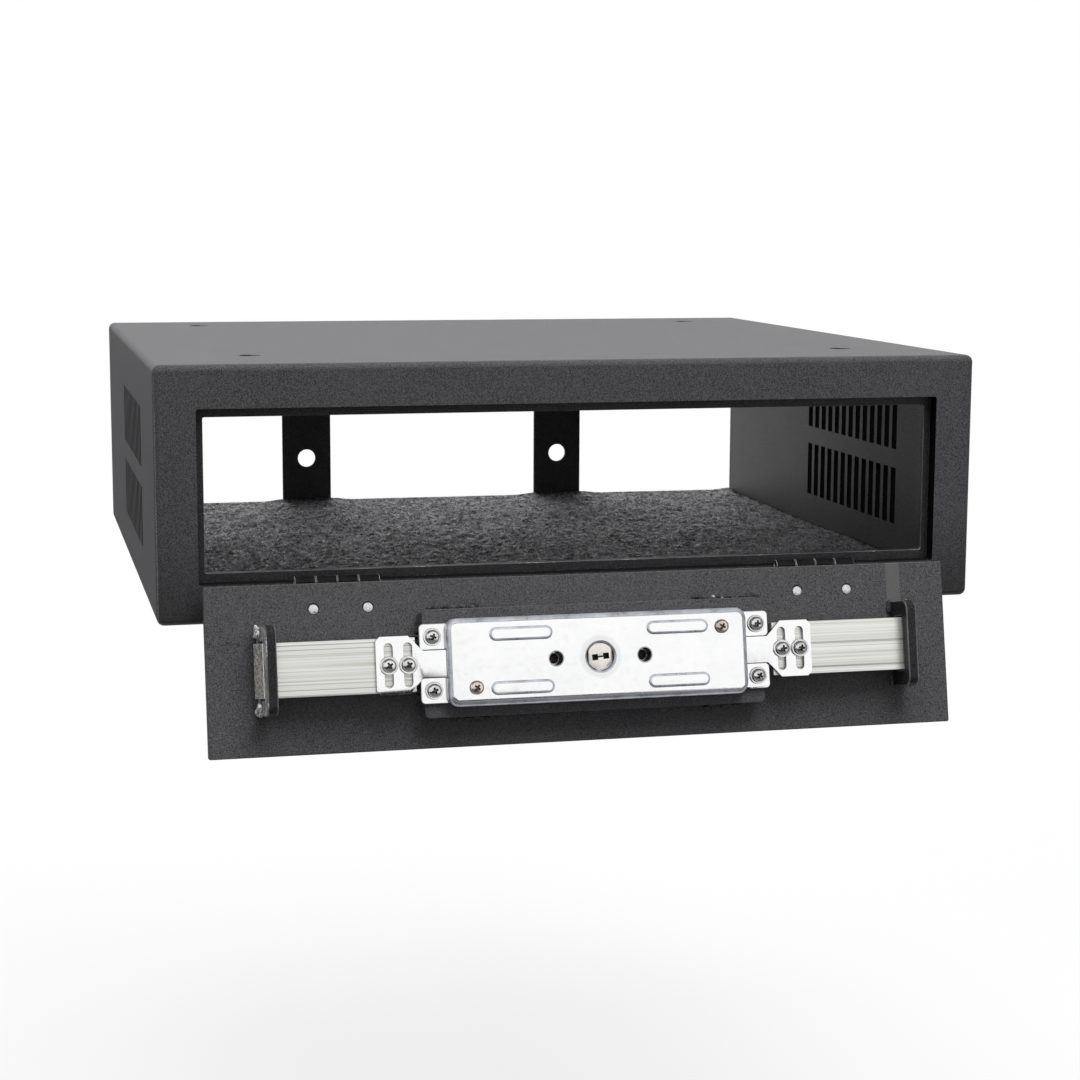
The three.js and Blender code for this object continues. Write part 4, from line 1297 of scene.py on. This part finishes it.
def fibre():
    """A short curled hair of three sides, widest in its middle."""
    steps = 2
    sections = []
    for step in range(steps + 1):
        share = step / steps
        x = (share - 0.5) * FIBRE_LENGTH
        bow = math.sin(share * math.pi)
        width = FIBRE_WIDTH * (0.35 + 0.65 * bow) / 2
        y = 0.5 * MM * math.sin(share * 4.2)
        z = 0.55 * MM * bow - 0.12 * MM
        sections.append([(x, y - width, z), (x, y + width, z), (x, y, z + width)])
    return skin(sections)


def carpet_fibres(low, high):
    """Hairs lying in every direction on the felt."""
    model = template(fibre(), "fibre_model")
    margin = 2 * MM
    level = high.z + CARPET_PROUD - CARPET_WAVE - 0.4 * CARPET_TUFT
    sides = (low.x + margin, high.x - margin, low.y + margin, high.y - margin)
    piece = show("carpet_fibres", rectangle("carpet_fibres", *sides, level))
    values = {
        "Model": model,
        "Density": float(FIBRE_DENSITY),
        "Least turn": (-0.4, -0.4, 0),
        "Most turn": (0.4, 0.4, 2 * math.pi),
        "Least size": (0.5, 0.5, 0.3),
        "Most size": (1.1, 1.1, 1.0),
        "Seed": 7,
        "Material": FIBRE,
    }
    grown(piece, SCATTER_TREE, values)
    bpy.data.objects.remove(model)
    return shaded(piece, 80)


# Fasteners


def pan_screw(name, shank, length, washer, head):
    """A pan-headed screw that seats at z = 0, with its washer and the cross in its head."""
    profile = [(0, -length), (shank, -length), (shank, 0)]
    base = 0.0
    if washer:
        base = WASHER_THICKNESS
        lip = 0.15 * MM
        profile += [(washer - lip, 0), (washer, lip), (washer, base - lip), (washer - lip, base)]
    profile.append((HEAD_RADIUS - 0.1 * MM, base))
    steps = 7
    for step in range(steps):
        angle = math.pi / 2 * step / steps
        radius = HEAD_RADIUS * (0.62 + 0.38 * math.cos(angle))
        profile.append((radius, base + head * (0.3 + 0.55 * math.sin(angle))))
    profile.append((0.3 * HEAD_RADIUS, base + 0.96 * head))
    profile.append((0, base + head))
    model = template(lathe(profile, 28), name)
    cutter = template(cross_cutter(base + head, min(1.5 * MM, 0.6 * head)), name + "_cross")
    cut = model.modifiers.new("cross", "BOOLEAN")
    cut.operation = "DIFFERENCE"
    cut.object = cutter
    cut.solver = "EXACT"
    applied(model)
    bpy.data.objects.remove(cutter)
    return shaded(model, 33)


def cross_cutter(top, depth):
    """Two crossed wedges that narrow downwards."""
    long, short, inner = 1.9 * MM, 0.5 * MM, 0.62 * MM
    outline = []
    for quarter in range(4):
        turn = Matrix.Rotation(quarter * math.pi / 2, 2)
        outline += [turn @ Vector(p) for p in ((long, -short), (long, short), (inner, inner))]
    low = [(0.5 * p.x, 0.5 * p.y, top - depth) for p in outline]
    high = [(p.x, p.y, top + 0.4 * MM) for p in outline]
    return skin([low, high])


def mark_heads(piece, points, head, washer):
    """The cross and the foot of each head as a last material: painted shade sits there."""
    foot = WASHER_THICKNESS if washer else 0.0
    piece.data.materials.append(HEAD_SHADE)
    shade_slot = len(piece.data.materials) - 1
    for face in piece.data.polygons:
        x, y, seat = min(points, key=lambda p: math.hypot(face.center.x - p[0], face.center.y - p[1]))
        radius = math.hypot(face.center.x - x, face.center.y - y)
        height = face.center.z - seat - foot
        in_cross = radius < 2 * MM and 0.1 * MM < height < 0.8 * head
        at_foot = radius > 0.8 * HEAD_RADIUS and 0.05 * MM < height < 0.45 * head
        if in_cross or at_foot:
            face.material_index = shade_slot


def numbered(stem, first, count):
    return [f"{stem}_{number}" for number in range(first, first + count)]


def screw_set(
    name, body, stem, points, seed, shank, length, washer=0,
    head=HEAD_HEIGHT, slot="bright_screw", first=1, turn=FACE
):
    """Screws at those points, each with its cross turned at random, for the nodes from first on."""
    model = pan_screw(name + "_model", shank, length, washer, head)
    piece = repeated(name, points, model, FINISH_OF[slot][0], turn=(0, math.pi / 2), seed=seed)
    mark_heads(piece, points, head, washer)
    piece.data.transform(turn)
    bpy.data.objects.remove(model)
    return place(piece, body, numbered(stem, first, len(points)))


def screws():
    points = [(x, y, BASE_TOP + SEAT) for x in (-EAR_X, EAR_X) for y in (-EAR_Y, EAR_Y)]
    screw_set(
        "ear_screws", "door", "ear_screw", points, 3, SHANK_RADIUS, EAR_SCREW_LENGTH, EAR_WASHER_RADIUS
    )

    points = [(s * COVER_SCREW_X, s * COVER_SCREW_Y, COVER_TOP + SEAT) for s in (-1, 1)]
    options = {"head": COVER_HEAD, "slot": "brass_screw"}
    screw_set("cover_screws", "door", "cover_screw", points, 8, SHANK_RADIUS, COVER_SCREW_LENGTH, **options)

    offset = DRIVE_SCREW_PITCH / 2
    sizes = (BOLT_SHANK_RADIUS, BOLT_SCREW_LENGTH, WASHER_RADIUS)
    for side, body, first in ((-1, "left_bolt", 1), (1, "right_bolt", 3)):
        points = [(side * DRIVE_SCREW_X + s * offset, 0, DRIVE_TOP + SEAT) for s in (-1, 1)]
        screw_set(body + "_screws", body, "bolt_screw", points, 10 + first, *sizes, first=first)

    points = [(s * ESCUTCHEON_SCREW_X, 0, ESCUTCHEON_OUT) for s in (-1, 1)]
    sizes = (ESCUTCHEON_SHANK_RADIUS, BASE_TOP + ESCUTCHEON_OUT)
    options = {"head": ESCUTCHEON_HEAD, "turn": FACE @ Matrix.Rotation(math.pi, 4, "X")}
    piece = screw_set("escutcheon_screws", "door", "escutcheon_screw", points, 5, *sizes, **options)
    # Painted shade on the shanks, which show deep in the cover's access holes
    piece.data.materials.append(KEYWAY_SHADE)
    tip_shade = len(piece.data.materials) - 1
    for face in piece.data.polygons:
        if (TO_FACE @ face.center).z > 2 * MM:
            face.material_index = tip_shade


def rivet(shank, end):
    """A rivet along Z: domed head below z = 0, shank up to its peened end."""
    profile = [(0, -RIVET_RISE)]
    steps = 8
    for step in range(1, steps + 1):
        angle = math.pi / 2 * (1 - step / steps)
        height = -0.3 * MM - (RIVET_RISE - 0.3 * MM) * math.sin(angle)
        profile.append((RIVET_HEAD * math.cos(angle), height))
    profile += [(RIVET_HEAD, 0), (RIVET_RADIUS, 0), (RIVET_RADIUS, shank)]
    profile += [(end, shank + 0.02 * MM), (0.86 * end, shank + 0.7 * PEEN_RISE)]
    profile += [(0.45 * end, shank + PEEN_RISE), (0, shank + PEEN_RISE)]
    return lathe(profile, 24)


def rivet_set(name, body, points, seed, shank, end, turn):
    """Rivets at those points, for the nodes of that name."""
    model = template(rivet(shank, end), name + "_model")
    piece = repeated(name + "s", points, model, PEENED, turn=(0, 3), seed=seed)
    piece.data.transform(turn)
    bpy.data.objects.remove(model)
    shaded(piece, 40)
    place(piece, body, numbered(name, 1, len(points)))


def rivets():
    rows = [side * HINGE_X + offset * RIVET_X for side in (-1, 1) for offset in (-1, 1)]
    low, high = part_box("frame_rivet_1")
    shank = high.y - low.y - RIVET_RISE
    points = [(x, -RIVET_FRAME_Z, low.y + RIVET_RISE) for x in rows]
    rearward = Matrix(((1, 0, 0, 0), (0, 0, 1, 0), (0, -1, 0, 0), (0, 0, 0, 1)))
    rivet_set("frame_rivet", "box", points, 4, shank, 0.9 * RIVET_RADIUS, rearward)
    points = [(x, RIVET_FACE_Y, -DOOR_RIVET_LENGTH) for x in rows]
    rivet_set("door_rivet", "door", points, 6, DOOR_RIVET_LENGTH, DOOR_RIVET_END, FACE)


# Weld beads along the plinth and round the guides' feet


def bead():
    """A flattened drop that trails off to one side."""
    build = bmesh.new()
    bmesh.ops.create_icosphere(build, subdivisions=2, radius=1)
    for vertex in build.verts:
        vertex.co.x *= BEAD_LENGTH * (1 + 0.25 * vertex.co.x)
        vertex.co.y *= BEAD_WIDTH
        vertex.co.z *= BEAD_HEIGHT
    return build


def bead_line(dice, x0, x1, y):
    """Places along a hand-run weld from x0 to x1."""
    count = round((x1 - x0) / BEAD_PITCH)
    points = []
    for step in range(count + 1):
        along = x0 + (x1 - x0) * (step / count) + dice.uniform(-0.3, 0.3) * BEAD_PITCH
        aside = y + dice.uniform(-0.5 * MM, 0.5 * MM)
        points.append((along, aside, 0.9 * MM + dice.uniform(-0.15, 0.2) * MM))
    return points


def bead_set(name, points, model, material, turn, size, seed):
    """Beads at those points of the face, which ride on the door."""
    piece = repeated(name, points, model, material, turn=turn, tilt=0.3, size=size, seed=seed)
    piece.data.transform(FACE)
    shaded(piece, 60)
    place(piece, "door", [])


def welds():
    dice = random.Random(11)
    edge = PLINTH_Y + 0.9 * MM
    points = []
    for x0, x1, side in PLINTH_RUNS:
        points += bead_line(dice, x0 * MM, x1 * MM, side * edge)
    for side in (-1, 1):
        for x in (-PLINTH_X - 0.6 * MM, PLINTH_X + 0.6 * MM):
            for step in range(CORNER_BEADS):
                points.append((x, side * PLINTH_CORNER_Y + dice.uniform(-4, 4) * MM, 0.7 * MM))
    model = template(bead(), "bead_model")
    bead_set("plinth_welds", points, model, WELD, (-0.5, 0.5), (0.6, 1.15), 12)
    guide_welds(dice, "guide_welds", model, WELD, GUIDE_INSIDE, (0.5, 0.5), 13)
    guide_welds(dice, "ground_welds", model, GROUND, GUIDE_OUTSIDE, (0.5, 15.0), 14)
    bpy.data.objects.remove(model)


def guide_welds(dice, name, model, material, x, heights, seed):
    """Beads down one side of both guides, above and below the bolt bars."""
    points = []
    for side in (-1, 1):
        for end in (-1, 1):
            for step in range(GUIDE_BEADS):
                y = end * dice.uniform(GUIDE_WELD_NEAR, GUIDE_WELD_FAR) * MM
                height = dice.uniform(*heights) * MM
                lean = side * dice.uniform(-0.3, 0.3) * MM
                points.append((side * x + lean, y, height))
    bead_set(name, points, model, material, (1.1, 2.0), (0.4, 0.85), seed)


# Studio


def camera():
    yaw, pitch, roll = CAMERA_YAW, CAMERA_PITCH, CAMERA_ROLL
    ahead = Vector(
        (math.sin(yaw) * math.cos(pitch), math.cos(yaw) * math.cos(pitch), -math.sin(pitch))
    )
    right = Vector((math.cos(yaw), -math.sin(yaw), 0))
    up = right.cross(ahead)
    turned_right = math.cos(roll) * right + math.sin(roll) * up
    turned_up = math.cos(roll) * up - math.sin(roll) * right
    data = bpy.data.cameras.new("camera")
    data.sensor_width = SENSOR
    data.lens = LENS
    data.clip_start = 0.01
    data.clip_end = 200
    piece = bpy.data.objects.new("camera", data)
    matrix = Matrix((turned_right, turned_up, -ahead)).transposed().to_4x4()
    matrix.translation = Vector(CAMERA_PLACE)
    piece.matrix_world = matrix
    bpy.context.scene.collection.objects.link(piece)
    bpy.context.scene.camera = piece


def seen_directly(tree):
    """1 for a ray from the camera, a mirror or glass, 0 for any other."""
    path = tree.nodes.new("ShaderNodeLightPath")
    most = path.outputs["Is Camera Ray"]
    for name in ("Is Glossy Ray", "Is Transmission Ray"):
        node = tree.nodes.new("ShaderNodeMath")
        node.operation = "MAXIMUM"
        tree.links.new(most, node.inputs[0])
        tree.links.new(path.outputs[name], node.inputs[1])
        most = node.outputs[0]
    return most


def show_white(tree, lit, kind, output, share):
    """Ends a tree in the lit shader, with plain white over it by that share."""
    white = tree.nodes.new(kind)
    white.inputs["Color"].default_value = (1, 1, 1, 1)
    white.inputs["Strength"].default_value = 1.0
    mix = tree.nodes.new("ShaderNodeMixShader")
    for number, socket in enumerate((share, lit.outputs[0], white.outputs[0])):
        tree.links.new(socket, mix.inputs[number])
    tree.links.new(mix.outputs[0], tree.nodes[output].inputs["Surface"])


def studio():
    scene = bpy.context.scene
    scene.view_settings.view_transform = "Standard"
    world = bpy.data.worlds.new("studio")
    scene.world = world
    world.use_nodes = True
    tree = world.node_tree
    light = tree.nodes["Background"]
    light.inputs["Color"].default_value = (1, 1, 1, 1)
    light.inputs["Strength"].default_value = AMBIENT
    show_white(tree, light, "ShaderNodeBackground", "World Output", seen_directly(tree))

    lamp("key", where=(0.35, -1.1, 1.35), size=0.9, power=27)
    lamp("above", where=(-0.3, -0.6, 2.1), size=1.3, power=48)
    lamp("rear", where=(0, 1.7, 0.28), size=1.5, power=23)
    card("ceiling card", (0, -0.45, 1.0), size=(3.0, 1.5), facing=(0, 0, -1), tone=0.24)
    card("table card", (0, -0.75, -0.34), (3.0, 1.0), facing=(0, 0, 1), tone=0.20, absorbs=True)
    card("right card", (1.2, -0.5, 0), size=(1.6, 1.6), facing=(-1, 0, 0), tone=0.26)
    card("rear left card", (-1.25, 0.75, -0.23), size=(2.0, 0.5), facing=(0, -1, 0), tone=0.2)
    card("low front card", (-0.9, -1.7, -0.28), size=(3.0, 0.5), facing=(0.2, 1, 0), tone=0.0)


def lamp(name, where, size, power):
    data = bpy.data.lights.new(name, "AREA")
    data.shape = "DISK"
    data.size = size
    data.energy = power
    piece = bpy.data.objects.new(name, data)
    aim = Vector(LAMPS_AIM) - Vector(where)
    piece.matrix_world = Matrix.LocRotScale(Vector(where), aim.to_track_quat("-Z", "Y"), None)
    piece.visible_glossy = False
    bpy.context.scene.collection.objects.link(piece)


def card(name, where, size, facing, tone, absorbs=False):
    """A grey card that only mirrors see, or matt faces too, to give them something dark."""
    mesh = rectangle(name, -0.5, 0.5, -0.5, 0.5, 0)
    piece = show(name, mesh, bpy.data.materials.new(name))
    turn = Vector(facing).to_track_quat("Z", "Y")
    piece.matrix_world = Matrix.LocRotScale(Vector(where), turn, Vector((*size, 1)))
    material = piece.data.materials[0]
    material.use_nodes = True
    tree = material.node_tree
    glow = tree.nodes.new("ShaderNodeEmission")
    glow.inputs["Color"].default_value = (tone, tone, 1.05 * tone, 1)
    tree.links.new(glow.outputs[0], tree.nodes["Material Output"].inputs["Surface"])
    piece.visible_camera = False
    piece.visible_diffuse = absorbs
    piece.visible_transmission = False
    piece.visible_shadow = False


def floor():
    """A pale floor well below the box: near it the lamps light it in part, so the box's shadow shows."""
    half = FLOOR_SIZE / 2
    mesh = rectangle("floor", -half, half, -half, half, cad_low.z - FLOOR_DROP)
    finish = Finish("pale floor")
    finish.finished(Base_Color=(0.7, 0.7, 0.7, 1), Roughness=1.0)
    away = finish.tree.nodes.new("ShaderNodeVectorMath")
    away.operation = "LENGTH"
    finish.join(finish.place, away.inputs[0])
    white = finish.span(away.outputs["Value"], SHADOW_NEAR, SHADOW_FAR, 1 - FLOOR_SHADOW, 1.0)
    share = finish.product(seen_directly(finish.tree), white)
    show_white(finish.tree, finish.shader, "ShaderNodeEmission", "Material Output", share)
    show("floor", mesh, finish.material)


camera()
studio()
floor()
wrap()
rear()
door()
carpet()
screws()
rivets()
welds()

REMADE = {"body_shell", "rear_panel", "carpet_liner", "door_panel"}
FASTENERS = ("ear_screw", "cover_screw", "bolt_screw", "escutcheon_screw", "frame_rivet", "door_rivet")
CYLINDER = dict(radius=0, looks=(NICKEL, NICKEL, KEYWAY_SHADE), marks=keyway_marks, shape=smaller_boss)
COVER = dict(
    radius=0.12, looks=(COVER_ZINC, ZINC_BEND_SHADE, KEYWAY_SHADE), marks=cover_marks, shape=tighter_hole
)
FLANGE = dict(
    radius=0.22, chosen=flange_rim, looks=(FLANGE_SHADED_COAT, WORN, RECESS), marks=opening_marks
)

# How the nodes whose names start so are dressed: the first that fits counts, the rest are plain
DRESSINGS = {
    "front_frame": FLANGE,
    "door_stop_frame": dict(radius=0.25, looks=(STOP_SHADED_COAT, WORN)),
    "lock_plinth": dict(radius=0.4, looks=(COAT, COAT)),
    "bolt_guide": dict(radius=0.6, segments=3, looks=(GUIDE_SHADED_COAT, WORN, GROUND), marks=outward_marks),
    "lock_cover": COVER,
    "drive_plate": dict(radius=0, looks=(ZINC, SHEARED), marks=turned_from_face),
    "lock_base": dict(marks=turned_from_face),
    "bolt_bar": dict(looks=(BAR, BAR, SCALED_END), marks=end_marks),
    "lock_plug": CYLINDER,
    "drive_pinion": CYLINDER,
    "hinge_left_pin": dict(radius=0.12),
    "hinge_right_pin": dict(radius=0.12),
    "hinge": dict(radius=0.25, chosen=knuckle_end, looks=(ENAMEL, HINGE_WEAR_AND_HIGHLIGHT)),
}
for node in sorted(frame["nodes"]):
    if node not in REMADE and not node.startswith(FASTENERS):
        dress(node, **next((DRESSINGS[start] for start in DRESSINGS if node.startswith(start)), {}))
